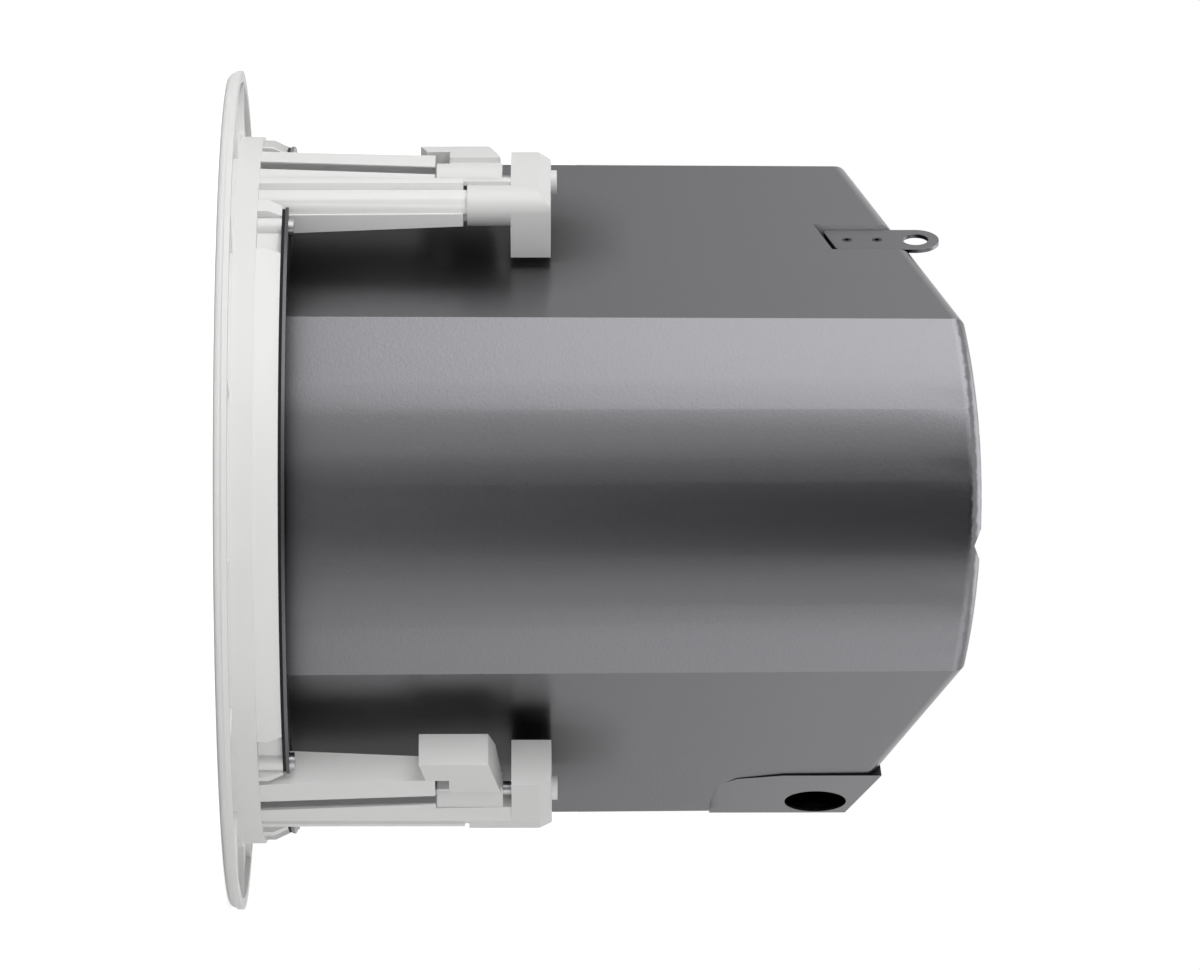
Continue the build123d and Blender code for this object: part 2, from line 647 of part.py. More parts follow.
with BuildPart() as back_can:
    with BuildSketch(Plane.XY.offset(CAN_FLANGE_BOTTOM)):
        with BuildLine():
            can_section()
        make_face()
    extrude(amount=CAN_REAR, taper=CAN_DRAFT_DEG)
    split(bisect_by=rear_plane(), keep=Keep.BOTTOM)
    fillet(back_can.faces().filter_by(rear_plane()).edges(), radius=CAN_RIM_FILLET)
    conduit_outside = flat_plane(
        CONDUIT_AZIMUTH, CONDUIT_FLOOR_RADIUS, CONDUIT_ACROSS, CONDUIT_Z, CONDUIT_TILT_DEG
    )
    with BuildSketch(conduit_outside):
        conduit_pocket()
    extrude(amount=-CONDUIT_PAD_DEPTH)
    with BuildSketch(conduit_outside):
        conduit_pocket()
    extrude(amount=CAN_REAR, mode=Mode.SUBTRACT)
    with BuildSketch(flat_plane(TAB_AZIMUTH, TAB_FLOOR_RADIUS, TAB_ACROSS, TAB_START_Z)):
        tab_pocket()
    extrude(amount=CAN_REAR, mode=Mode.SUBTRACT)
    with BuildSketch(Plane.XZ):
        rim_dent()
    extrude(amount=FLANGE_RADIUS, mode=Mode.SUBTRACT)
    split(bisect_by=rear_plane(), keep=Keep.BOTTOM)
    # Flange that the can is screwed down by, notched round the clamps' towers
    with BuildSketch(Plane.XY.offset(CAN_FLANGE_BOTTOM)):
        notched_disc(CAN_FLANGE_RADIUS, NOTCH_FLANGE_MARGIN)
    extrude(amount=CAN_FLANGE_THICKNESS)
    add(can_cavity.part, mode=Mode.SUBTRACT)
    with BuildSketch(Plane.XY.offset(CAN_FLANGE_TOP)):
        for azimuth in CLAMP_AZIMUTHS:
            for side in (-1, 1):
                with Locations(polar(SCREW_BOSS_CIRCLE, azimuth + side * SCREW_BOSS_TURN_DEG)):
                    Circle(SMALL_SCREW_RADIUS + SCREW_FIT)
    extrude(amount=-CAN_FLANGE_THICKNESS, mode=Mode.SUBTRACT)
    # Conduit entry, rivet holes, and the opening and screw holes of the terminal cover
    with BuildSketch(conduit_outside):
        Circle(CONDUIT_RADIUS)
    extrude(amount=-2 * CAN_WALL, mode=Mode.SUBTRACT)
    with BuildSketch(flat_plane(TAB_AZIMUTH, TAB_FLOOR_RADIUS, TAB_ACROSS, TAB_START_Z)):
        with Locations(*[(run, 0) for run in RIVET_RUNS]):
            Circle(RIVET_RADIUS + SCREW_FIT)
    extrude(amount=-2 * CAN_WALL, mode=Mode.SUBTRACT)
    with BuildSketch(rear_plane()):
        with Locations((0, TERMINAL_ACROSS)):
            Rectangle(TERMINAL_WIDTH - 2 * TERMINAL_MARGIN, TERMINAL_HEIGHT - 2 * TERMINAL_MARGIN)
            with GridLocations(TERMINAL_WIDTH - TERMINAL_MARGIN, TERMINAL_HEIGHT - TERMINAL_MARGIN, 2, 2):
                Circle(SMALL_SCREW_RADIUS + SCREW_FIT)
        with GridLocations(BOARD_WIDTH - 4 * STANDOFF_RADIUS, BOARD_HEIGHT - 4 * STANDOFF_RADIUS, 2, 2):
            Circle(SMALL_SCREW_RADIUS + SCREW_FIT)
    extrude(amount=-2 * CAN_WALL, mode=Mode.SUBTRACT)
save(back_can, "back_can")

with BuildPart() as can_gasket:
    with BuildSketch(Plane.XY.offset(SPIGOT_TOP)) as gasket_face:
        notched_disc(CAN_FLANGE_RADIUS - GASKET_INSET, NOTCH_FLANGE_MARGIN + GASKET_INSET)
        with BuildLine(mode=Mode.PRIVATE) as gasket_inner:
            can_section(CAN_WALL)
        make_face(gasket_inner.edges(), mode=Mode.SUBTRACT)
        for azimuth in CLAMP_AZIMUTHS:
            for side in (-1, 1):
                with Locations(polar(SCREW_BOSS_CIRCLE, azimuth + side * SCREW_BOSS_TURN_DEG)):
                    Circle(SMALL_SCREW_RADIUS + SCREW_FIT, mode=Mode.SUBTRACT)
    extrude(amount=GASKET_THICKNESS)
save(can_gasket, "can_gasket")

with BuildPart() as can_screws:
    for azimuth in CLAMP_AZIMUTHS:
        for side in (-1, 1):
            centre = polar(SCREW_BOSS_CIRCLE, azimuth + side * SCREW_BOSS_TURN_DEG)
            with BuildSketch(Plane.XY.offset(CAN_FLANGE_TOP)):
                with Locations(centre):
                    Circle(SMALL_SCREW_HEAD_RADIUS)
            extrude(amount=SMALL_SCREW_HEAD_HEIGHT)
            with BuildSketch(Plane.XY.offset(CAN_FLANGE_TOP)):
                with Locations(centre):
                    Circle(SMALL_SCREW_RADIUS)
            extrude(amount=-CAN_SCREW_REACH)
            with BuildSketch(Plane.XY.offset(CAN_FLANGE_TOP + SMALL_SCREW_HEAD_HEIGHT)):
                with Locations(centre):
                    Rectangle(SMALL_SCREW_SLOT, SMALL_SCREW_SLOT_WIDTH)
                    Rectangle(SMALL_SCREW_SLOT_WIDTH, SMALL_SCREW_SLOT)
            extrude(amount=-SMALL_SCREW_SLOT_DEPTH, mode=Mode.SUBTRACT)
save(can_screws, "can_screws")

for number, azimuth in enumerate(CLAMP_AZIMUTHS, start=1):
    pivot = axis_plane(azimuth).from_local_coords((PIVOT_X, PIVOT_Y, 0))
    pivot_plane = Plane(origin=pivot, x_dir=axis_plane(azimuth).x_dir, z_dir=(0, 0, 1))

    with BuildPart() as clamp_dog:
        with BuildSketch(pivot_plane.offset(BARREL_BOTTOM)):
            Circle(BARREL_RADIUS)
        extrude(amount=BARREL_LENGTH)
        # Arm: a narrow neck at the barrel, widening to the foot that bears on the ceiling
        with BuildSketch(axis_plane(azimuth, FOOT_BOTTOM)):
            Polygon(
                (PIVOT_X - NECK_THICKNESS / 2, PIVOT_Y),
                (PIVOT_X - NECK_THICKNESS / 2, PIVOT_Y - NECK_REACH),
                (ARM_INNER_X, HOUSING_LOW - FOOT_GAP),
                (ARM_INNER_X, ARM_TIP_Y),
                (FLANGE_RADIUS, ARM_TIP_Y),
                (FLANGE_RADIUS, PIVOT_Y - NECK_REACH - NECK_THICKNESS / 2),
                (PIVOT_X + NECK_THICKNESS / 2, PIVOT_Y - NECK_REACH),
                (PIVOT_X + NECK_THICKNESS / 2, PIVOT_Y),
                align=None,
            )
            Circle(ARM_OUTER_RADIUS, mode=Mode.INTERSECT)
        extrude(amount=BARREL_TOP - FOOT_BOTTOM)
        # The side profile: raised under the neck, sloped on top towards the tip
        side_plane = Plane(origin=(0, 0, 0), x_dir=axis_plane(azimuth).y_dir, z_dir=axis_plane(azimuth).x_dir)
        foot_start = HOUSING_LOW - FOOT_GAP
        with BuildSketch(side_plane):
            Polygon(
                (0, FOOT_BOTTOM - 1),
                (foot_start, FOOT_BOTTOM - 1),
                (foot_start, NECK_BOTTOM),
                (PIVOT_Y - BARREL_RADIUS + 0.2, NECK_BOTTOM),
                (PIVOT_Y - BARREL_RADIUS + 0.2, BARREL_BOTTOM),
                (0, BARREL_BOTTOM),
                align=None,
            )
            Polygon(
                (foot_start, FOOT_BOTTOM - 1),
                (ARM_TIP_Y - 1, FOOT_BOTTOM - 1),
                (ARM_TIP_Y - 1, FOOT_BOTTOM),
                (foot_start, FOOT_BOTTOM + FOOT_SLOPE),
                align=None,
            )
            Polygon(
                (PIVOT_Y - BARREL_RADIUS, BARREL_TOP),
                (ARM_TIP_Y - 1, ARM_TIP_TOP),
                (ARM_TIP_Y - 1, BARREL_TOP + 1),
                (PIVOT_Y - BARREL_RADIUS, BARREL_TOP + 1),
                align=None,
            )
        extrude(amount=FLANGE_RADIUS, both=True, mode=Mode.SUBTRACT)
        with BuildSketch(pivot_plane.offset(BARREL_TOP)):
            Circle(SCREW_RADIUS + SCREW_ROOM)
        extrude(amount=-BARREL_LENGTH, mode=Mode.SUBTRACT)
        with BuildSketch(pivot_plane.offset(BARREL_TOP)):
            Circle(INSERT_RADIUS + POST_FIT)
        extrude(amount=-INSERT_HEIGHT, mode=Mode.SUBTRACT)
    save(clamp_dog, f"clamp_dog_{number}")

    with BuildPart() as clamp_insert:
        with BuildSketch(pivot_plane.offset(BARREL_TOP - INSERT_HEIGHT)):
            Circle(INSERT_RADIUS)
            Circle(SCREW_RADIUS + SCREW_FIT, mode=Mode.SUBTRACT)
        extrude(amount=INSERT_HEIGHT)
    save(clamp_insert, f"clamp_insert_{number}")

    with BuildPart() as clamp_screw:
        with BuildSketch(pivot_plane.offset(PLATE_BOTTOM)):
            Circle(SCREW_RADIUS)
        extrude(amount=SCREW_END - PLATE_BOTTOM)
        with BuildSketch(pivot_plane.offset(PLATE_BOTTOM)):
            Circle(SCREW_HEAD_RADIUS)
        extrude(amount=-SCREW_HEAD_HEIGHT)
        with BuildSketch(pivot_plane.offset(PLATE_BOTTOM - SCREW_HEAD_HEIGHT)):
            Rectangle(SCREW_RECESS_LENGTH, SCREW_RECESS_WIDTH)
            Rectangle(SCREW_RECESS_WIDTH, SCREW_RECESS_LENGTH)
        extrude(amount=SCREW_RECESS_DEPTH, mode=Mode.SUBTRACT)
        chamfer(clamp_screw.edges().sort_by(Axis.Z)[-1:], length=0.6)
    save(clamp_screw, f"clamp_screw_{number}")

    with BuildPart() as clamp_cap:
        with BuildSketch(axis_plane(azimuth, STRIP_TOP)) as cap_outline:
            Polygon(
                (CAP_INNER_AT_TIP, CAP_LOW),
                (FLANGE_RADIUS, CAP_LOW),
                (FLANGE_RADIUS, POST_Y),
                (POST_X + CAP_SLEEVE_RADIUS, POST_Y),
                (POST_X, POST_Y + CAP_SLEEVE_RADIUS),
                (CAP_INNER_AT_POST, POST_Y + CAP_SLEEVE_RADIUS),
                align=None,
            )
            Circle(CAP_OUTER_RADIUS, mode=Mode.INTERSECT)
            with Locations((POST_X, POST_Y)):
                Circle(CAP_SLEEVE_RADIUS)
        extrude(amount=CAP_TOP - STRIP_TOP)
        with BuildSketch(Plane.XZ):
            with BuildLine():
                Polyline(
                    (CAP_OUTER_RADIUS - CAP_EDGE_DROP, CAP_TOP),
                    (CAP_OUTER_RADIUS + 1, CAP_TOP),
                    (CAP_OUTER_RADIUS + 1, CAP_TOP - CAP_EDGE_RUN),
                    (CAP_OUTER_RADIUS, CAP_TOP - CAP_EDGE_RUN),
                    close=True,
                )
            make_face()
        revolve(axis=Axis.Z, mode=Mode.SUBTRACT)
        # Hollow over the screw's end, with a boss through the top that steadies it
        with BuildSketch(axis_plane(azimuth, STRIP_TOP)):
            Polygon(
                (CAP_INNER_AT_TIP + CAP_WALL, CAP_LOW + CAP_WALL),
                (PIVOT_X + BARREL_RADIUS - CAP_WALL, CAP_LOW + CAP_WALL),
                (PIVOT_X + BARREL_RADIUS - CAP_WALL, HOUSING_HIGH - STRIP_WIDTH - CAP_WALL),
                (CAP_INNER_AT_TIP + CAP_WALL, HOUSING_HIGH - STRIP_WIDTH - CAP_WALL),
                align=None,
            )
        extrude(amount=CAP_TOP - STRIP_TOP - CAP_EDGE_RUN - CAP_WALL, mode=Mode.SUBTRACT)
        with BuildSketch(pivot_plane.offset(CAP_TOP)):
            Circle(CAP_BOSS_RADIUS)
        extrude(amount=CAP_BOSS_HEIGHT)
        with BuildSketch(pivot_plane.offset(STRIP_TOP)):
            Circle(SCREW_RADIUS + SCREW_FIT)
        extrude(amount=SCREW_END + 0.3 - STRIP_TOP, mode=Mode.SUBTRACT)
        with BuildSketch(axis_plane(azimuth, STRIP_TOP)):
            with Locations((POST_X, POST_Y)):
                Circle(CAP_SLEEVE_RADIUS)
        extrude(amount=CAP_SLEEVE_BOTTOM - STRIP_TOP)
        with BuildSketch(axis_plane(azimuth, CAP_SLEEVE_BOTTOM)):
            with Locations((POST_X, POST_Y)):
                Circle(POST_RADIUS + POST_FIT)
        extrude(amount=POST_TOP - CAP_SLEEVE_BOTTOM, mode=Mode.SUBTRACT)
    save(clamp_cap, f"clamp_cap_{number}")

with BuildPart() as safety_tab:
    with BuildSketch(flat_plane(TAB_AZIMUTH, TAB_FLOOR_RADIUS, TAB_ACROSS, TAB_START_Z)) as tab_outline:
        Polygon(
            (RIM_SKEW * TAB_WIDTH / 2, -TAB_WIDTH / 2),
            (TAB_HOLE_RUN, -TAB_WIDTH / 2),
            (TAB_HOLE_RUN, TAB_WIDTH / 2),
            (-RIM_SKEW * TAB_WIDTH / 2, TAB_WIDTH / 2),
            align=None,
        )
        with Locations((TAB_HOLE_RUN, 0)):
            Circle(TAB_WIDTH / 2)
            Circle(TAB_HOLE_RADIUS, mode=Mode.SUBTRACT)
        with Locations(*[(run, 0) for run in RIVET_RUNS]):
            Circle(RIVET_RADIUS + SCREW_FIT, mode=Mode.SUBTRACT)
        fillet(tab_outline.vertices().sort_by(Axis.X)[:2], radius=TAB_CORNER)
    extrude(amount=TAB_THICKNESS)
save(safety_tab, "safety_tab")

with BuildPart() as tab_rivets:
    for run in RIVET_RUNS:
        outer_end = flat_plane(TAB_AZIMUTH, TAB_FLOOR_RADIUS, TAB_ACROSS, TAB_START_Z + run).offset(TAB_THICKNESS)
        with BuildSketch(outer_end):
            Circle(RIVET_RADIUS)
        extrude(amount=-TAB_THICKNESS - CAN_WALL)
        with BuildSketch(outer_end.offset(-TAB_THICKNESS - CAN_WALL)):
            Circle(RIVET_HEAD_RADIUS)
        extrude(amount=-RIVET_HEAD_HEIGHT)
        with BuildSketch(outer_end):
            Circle(RIVET_BORE)
        extrude(amount=-RIVET_BORE_DEPTH, mode=Mode.SUBTRACT)
save(tab_rivets, "tab_rivets")

with BuildPart() as terminal_cover:
    with BuildSketch(rear_plane()):
        with Locations((0, TERMINAL_ACROSS)):
            RectangleRounded(TERMINAL_WIDTH, TERMINAL_HEIGHT, TERMINAL_CORNER)
            with GridLocations(TERMINAL_WIDTH - TERMINAL_MARGIN, TERMINAL_HEIGHT - TERMINAL_MARGIN, 2, 2):
                Circle(SMALL_SCREW_RADIUS + SCREW_FIT, mode=Mode.SUBTRACT)
    extrude(amount=TERMINAL_PLATE_THICKNESS)
save(terminal_cover, "terminal_cover")

with BuildPart() as terminal_block:
    with BuildSketch(rear_plane()):
        with Locations((0, TERMINAL_ACROSS)):
            Rectangle(CONNECTOR_WIDTH, CONNECTOR_HEIGHT)
    extrude(amount=-CONNECTOR_DEPTH)
    with BuildSketch(rear_plane(-CONNECTOR_DEPTH)):
        with Locations((0, TERMINAL_ACROSS)):
            with GridLocations(CONNECTOR_WIDTH / CONNECTOR_POLES, 1, CONNECTOR_POLES, 1):
                Circle(CONNECTOR_HEIGHT / 5)
    extrude(amount=CONNECTOR_HEIGHT / 2, mode=Mode.SUBTRACT)
save(terminal_block, "terminal_block")

with BuildPart() as cover_screws:
    for lift, amount, radius in (
        (TERMINAL_PLATE_THICKNESS, SMALL_SCREW_HEAD_HEIGHT, SMALL_SCREW_HEAD_RADIUS),
        (TERMINAL_PLATE_THICKNESS, -COVER_SCREW_REACH, SMALL_SCREW_RADIUS),
    ):
        with BuildSketch(rear_plane(lift)):
            with Locations((0, TERMINAL_ACROSS)):
                with GridLocations(TERMINAL_WIDTH - TERMINAL_MARGIN, TERMINAL_HEIGHT - TERMINAL_MARGIN, 2, 2):
                    Circle(radius)
        extrude(amount=amount)
save(cover_screws, "cover_screws")

with BuildPart() as board_standoffs:
    with BuildSketch(rear_plane(-CAN_WALL)):
        with GridLocations(BOARD_WIDTH - 4 * STANDOFF_RADIUS, BOARD_HEIGHT - 4 * STANDOFF_RADIUS, 2, 2):
            Circle(STANDOFF_RADIUS)
            Circle(SMALL_SCREW_RADIUS + SCREW_FIT, mode=Mode.SUBTRACT)
    extrude(amount=-BOARD_STANDOFF)
save(board_standoffs, "board_standoffs")

BOARD_REAR = -CAN_WALL - BOARD_STANDOFF
BOARD_FRONT = BOARD_REAR - BOARD_THICKNESS

with BuildPart() as crossover_board:
    with BuildSketch(rear_plane(BOARD_REAR)):
        Rectangle(BOARD_WIDTH, BOARD_HEIGHT)
        with GridLocations(BOARD_WIDTH - 4 * STANDOFF_RADIUS, BOARD_HEIGHT - 4 * STANDOFF_RADIUS, 2, 2):
            Circle(SMALL_SCREW_RADIUS + SCREW_FIT, mode=Mode.SUBTRACT)
    extrude(amount=-BOARD_THICKNESS)
save(crossover_board, "crossover_board")

with BuildPart() as board_screws:
    for lift, amount, radius in (
        (0, SMALL_SCREW_HEAD_HEIGHT, SMALL_SCREW_HEAD_RADIUS),
        (0, BOARD_FRONT - BOARD_SCREW_END, SMALL_SCREW_RADIUS),
        (BOARD_FRONT, -BOARD_SCREW_END, SMALL_SCREW_HEAD_RADIUS),
    ):
        with BuildSketch(rear_plane(lift)):
            with GridLocations(BOARD_WIDTH - 4 * STANDOFF_RADIUS, BOARD_HEIGHT - 4 * STANDOFF_RADIUS, 2, 2):
                Circle(radius)
        extrude(amount=amount)
save(board_screws, "board_screws")

with BuildPart() as inductors:
    with BuildSketch(rear_plane(BOARD_FRONT)):
        with Locations(*INDUCTOR_SPOTS):
            Circle(INDUCTOR_RADIUS)
            Circle(INDUCTOR_BORE, mode=Mode.SUBTRACT)
    extrude(amount=-INDUCTOR_HEIGHT)
save(inductors, "inductors")

with BuildPart() as capacitors:
    with BuildSketch(rear_plane(BOARD_FRONT)):
        with Locations(*CAPACITOR_SPOTS):
            Circle(CAPACITOR_RADIUS)
    extrude(amount=-CAPACITOR_HEIGHT)
save(capacitors, "capacitors")

with BuildPart() as transformer_core:
    with BuildSketch(rear_plane(BOARD_FRONT)):
        with Locations(TRANSFORMER_SPOT):
            Rectangle(CORE_WIDTH, CORE_STACK)
    extrude(amount=-CORE_HEIGHT)
    with BuildSketch(rear_plane(BOARD_FRONT - CORE_LIMB)):
        with Locations(TRANSFORMER_SPOT):
            with GridLocations(CORE_CENTRE + CORE_WINDOW, 0, 2, 1):
                Rectangle(CORE_WINDOW, CORE_STACK)
    extrude(amount=-(CORE_HEIGHT - 2 * CORE_LIMB), mode=Mode.SUBTRACT)
save(transformer_core, "transformer_core")

with BuildPart() as transformer_winding:
    with BuildSketch(rear_plane(BOARD_FRONT - CORE_LIMB)):
        with Locations(TRANSFORMER_SPOT):
            Rectangle(CORE_CENTRE + 2 * CORE_WINDOW - 2 * FACE_GAP, CORE_STACK + 2 * CORE_WINDOW)
            Rectangle(CORE_CENTRE + 2 * FACE_GAP, CORE_STACK + 2 * FACE_GAP, mode=Mode.SUBTRACT)
    extrude(amount=-(CORE_HEIGHT - 2 * CORE_LIMB - 2 * FACE_GAP))
save(transformer_winding, "transformer_winding")

with BuildPart() as driver_gasket:
    with BuildSketch(Plane.XY.offset(COLLAR_HEIGHT)):
        Circle(DRIVER_FLANGE_RADIUS)
        Circle(DRIVER_OPENING + 2, mode=Mode.SUBTRACT)
        with PolarLocations(DRIVER_SCREW_CIRCLE, DRIVER_SCREW_COUNT):
            Circle(SMALL_SCREW_RADIUS + SCREW_FIT, mode=Mode.SUBTRACT)
    extrude(amount=DRIVER_GASKET)
save(driver_gasket, "driver_gasket")

with BuildPart() as basket:
    with BuildSketch(Plane.XZ):
        with BuildLine():
            Polyline(
                (ROLL_OUTER, DRIVER_FRONT),
                (DRIVER_FLANGE_RADIUS, DRIVER_FRONT),
                (DRIVER_FLANGE_RADIUS, DRIVER_FLANGE_REAR),
                (ROLL_OUTER + 2 * BASKET_WALL, DRIVER_FLANGE_REAR),
                (BASKET_WAIST + BASKET_WALL, SPIDER_LANDING_Z + BASKET_WALL),
                (BASKET_NECK_RADIUS, SPIDER_LANDING_Z + BASKET_WALL),
                (BASKET_NECK_RADIUS, BASKET_REAR_Z),
                (GAP_RADIUS + 3, BASKET_REAR_Z),
                (GAP_RADIUS + 3, BASKET_REAR_Z - BASKET_WALL),
                (BASKET_NECK_RADIUS - BASKET_WALL, BASKET_REAR_Z - BASKET_WALL),
                (BASKET_NECK_RADIUS - BASKET_WALL, SPIDER_LANDING_Z + BASKET_WALL),
                (SPIDER_OUTER - SPIDER_FOOT, SPIDER_LANDING_Z + BASKET_WALL),
                (SPIDER_OUTER - SPIDER_FOOT, SPIDER_LANDING_Z),
                (BASKET_WAIST, SPIDER_LANDING_Z),
                (ROLL_OUTER, DRIVER_FLANGE_REAR),
                close=True,
            )
        make_face()
    revolve(axis=Axis.Z)
    # Six windows between the spokes
    with BuildSketch(Plane.XY.offset(DRIVER_FLANGE_REAR)):
        for spoke in range(BASKET_SPOKES):
            with BuildLine():
                turn = 360.0 / BASKET_SPOKES
                inner = BASKET_WAIST + 2 * BASKET_WALL
                outer = ROLL_OUTER + 2 * BASKET_WALL + 1
                from_deg = spoke * turn + BASKET_SPOKE_DEG / 2
                to_deg = (spoke + 1) * turn - BASKET_SPOKE_DEG / 2
                CenterArc((0, 0), inner, from_deg, to_deg - from_deg)
                Line(polar(inner, to_deg), polar(outer, to_deg))
                CenterArc((0, 0), outer, from_deg, to_deg - from_deg)
                Line(polar(outer, from_deg), polar(inner, from_deg))
            make_face()
    extrude(amount=SPIDER_LANDING_Z - DRIVER_FLANGE_REAR, mode=Mode.SUBTRACT)
    with BuildSketch(Plane.XY.offset(DRIVER_FLANGE_REAR)):
        with PolarLocations(DRIVER_SCREW_CIRCLE, DRIVER_SCREW_COUNT):
            Circle(SMALL_SCREW_RADIUS + SCREW_FIT)
    extrude(amount=-DRIVER_FLANGE_THICKNESS, mode=Mode.SUBTRACT)
save(basket, "basket")

with BuildPart() as surround:
    middle = (ROLL_INNER + ROLL_OUTER) / 2
    half = (ROLL_OUTER - ROLL_INNER) / 2
    with BuildSketch(Plane.XZ):
        with BuildLine():
            CenterArc((middle, DRIVER_FRONT), half, 180, 180)
            Line((ROLL_INNER, DRIVER_FRONT), (ROLL_OUTER, DRIVER_FRONT))
        make_face()
        with Locations((middle, DRIVER_FRONT)):
            Circle(half - ROLL_SHEET, mode=Mode.SUBTRACT)
        with Locations((ROLL_INNER - ROLL_FOOT / 2, DRIVER_FRONT - ROLL_SHEET / 2)):
            Rectangle(ROLL_FOOT + ROLL_SHEET, ROLL_SHEET)
        with Locations((ROLL_OUTER + ROLL_FOOT / 2, DRIVER_FRONT - ROLL_SHEET / 2)):
            Rectangle(ROLL_FOOT + ROLL_SHEET, ROLL_SHEET)
    revolve(axis=Axis.Z)
save(surround, "surround")

with BuildPart() as cone:
    with BuildSketch(Plane.XZ):
        with BuildLine():
            Polyline(
                (ROLL_INNER, DRIVER_FRONT),
                (ROLL_INNER, DRIVER_FRONT + CONE_SHEET),
                (ROLL_INNER - 3, DRIVER_FRONT + CONE_SHEET),
                (COIL_RADIUS, CONE_THROAT_Z + CONE_SHEET),
                (COIL_RADIUS, CONE_THROAT_Z),
                (ROLL_INNER - 3, DRIVER_FRONT),
                close=True,
            )
        make_face()
    revolve(axis=Axis.Z)
save(cone, "cone")

with BuildPart() as spider:
    with BuildSketch(Plane.XZ):
        with BuildLine():
            steps = 2 * SPIDER_WAVES
            reach = SPIDER_OUTER - SPIDER_FOOT - 1 - COIL_RADIUS
            lower = [(COIL_RADIUS, SPIDER_LANDING_Z - SPIDER_SHEET)]
            for step in range(1, steps):
                lift = SPIDER_WAVE if step % 2 else 0.0
                lower.append((COIL_RADIUS + reach * step / steps, SPIDER_LANDING_Z - SPIDER_SHEET - lift))
            lower.append((COIL_RADIUS + reach, SPIDER_LANDING_Z - SPIDER_SHEET))
            lower.append((SPIDER_OUTER, SPIDER_LANDING_Z - SPIDER_SHEET))
            upper = [(x, z + SPIDER_SHEET) for x, z in reversed(lower)]
            Polyline(*lower, *upper, close=True)
        make_face()
    revolve(axis=Axis.Z)
save(spider, "spider")

with BuildPart() as coil_former:
    with BuildSketch(Plane.XY.offset(CONE_THROAT_Z - 1)):
        Circle(COIL_RADIUS)
        Circle(COIL_RADIUS - COIL_WALL, mode=Mode.SUBTRACT)
    extrude(amount=COIL_END_Z - CONE_THROAT_Z + 1)
save(coil_former, "coil_former")

with BuildPart() as voice_coil:
    with BuildSketch(Plane.XY.offset(BASKET_REAR_Z - 1)):
        Circle(COIL_RADIUS + COIL_WINDING)
        Circle(COIL_RADIUS, mode=Mode.SUBTRACT)
    extrude(amount=COIL_END_Z - BASKET_REAR_Z)
save(voice_coil, "voice_coil")

with BuildPart() as top_plate:
    with BuildSketch(Plane.XY.offset(BASKET_REAR_Z)):
        Circle(TOP_PLATE_RADIUS)
        Circle(GAP_RADIUS, mode=Mode.SUBTRACT)
    extrude(amount=TOP_PLATE_THICKNESS)
save(top_plate, "top_plate")

with BuildPart() as magnet:
    with BuildSketch(Plane.XY.offset(BASKET_REAR_Z + TOP_PLATE_THICKNESS)):
        Circle(MAGNET_RADIUS)
        Circle(GAP_RADIUS + 4, mode=Mode.SUBTRACT)
    extrude(amount=MAGNET_THICKNESS)
save(magnet, "magnet")

with BuildPart() as yoke:
    with BuildSketch(Plane.XY.offset(BASKET_REAR_Z + TOP_PLATE_THICKNESS + MAGNET_THICKNESS)):
        Circle(MAGNET_RADIUS - 2)
    extrude(amount=BACK_PLATE_THICKNESS)
    with BuildSketch(Plane.XY.offset(BASKET_REAR_Z)):
        Circle(POLE_RADIUS)
    extrude(amount=TOP_PLATE_THICKNESS + MAGNET_THICKNESS)
save(yoke, "yoke")

with BuildPart() as tweeter_body:
    with BuildSketch(Plane.XZ):
        with BuildLine():
            Polyline(
                (0, BASKET_REAR_Z),
                (TWEETER_STEM_RADIUS, BASKET_REAR_Z),
                (TWEETER_STEM_RADIUS, TWEETER_FRONT_Z + 11),
                (TWEETER_FRONT_RADIUS, TWEETER_FRONT_Z + 6),
                (TWEETER_FRONT_RADIUS, TWEETER_FRONT_Z),
                (TWEETER_FRONT_RADIUS - 1.5, TWEETER_FRONT_Z),
                (DOME_RADIUS + 0.7, TWEETER_FRONT_Z + 3),
                (DOME_RADIUS + 0.7, TWEETER_FRONT_Z + DOME_HEIGHT),
                (0, TWEETER_FRONT_Z + DOME_HEIGHT),
                close=True,
            )
        make_face()
    revolve(axis=Axis.Z)
save(tweeter_body, "tweeter_body")

with BuildPart() as tweeter_dome:
    dome_seat = TWEETER_FRONT_Z + DOME_HEIGHT
    rise = DOME_HEIGHT - DOME_SHEET
    sphere = (DOME_RADIUS**2 + rise**2) / (2 * rise)
    stations = [DOME_RADIUS * step / DOME_STEPS for step in range(DOME_STEPS + 1)]
    front = [(x, TWEETER_FRONT_Z + sphere - math.sqrt(sphere**2 - x**2)) for x in stations]
    back = [(x, z + DOME_SHEET) for x, z in reversed(front)]
    with BuildSketch(Plane.XZ):
        with BuildLine():
            Polyline(*front, *back, close=True)
        make_face()
        with Locations((DOME_RADIUS, dome_seat)):
            Rectangle(2 * DOME_SHEET, DOME_SHEET, align=(Align.CENTER, Align.MAX))
    revolve(axis=Axis.Z)
save(tweeter_dome, "tweeter_dome")

with BuildPart() as driver_screws:
    for height, amount, radius in (
        (DRIVER_FLANGE_REAR, SMALL_SCREW_HEAD_HEIGHT, SMALL_SCREW_HEAD_RADIUS),
        (DRIVER_FLANGE_REAR, -DRIVER_SCREW_LENGTH, SMALL_SCREW_RADIUS),
    ):
        with BuildSketch(Plane.XY.offset(height)):
            with PolarLocations(DRIVER_SCREW_CIRCLE, DRIVER_SCREW_COUNT):
                Circle(radius)
        extrude(amount=amount)
save(driver_screws, "driver_screws")

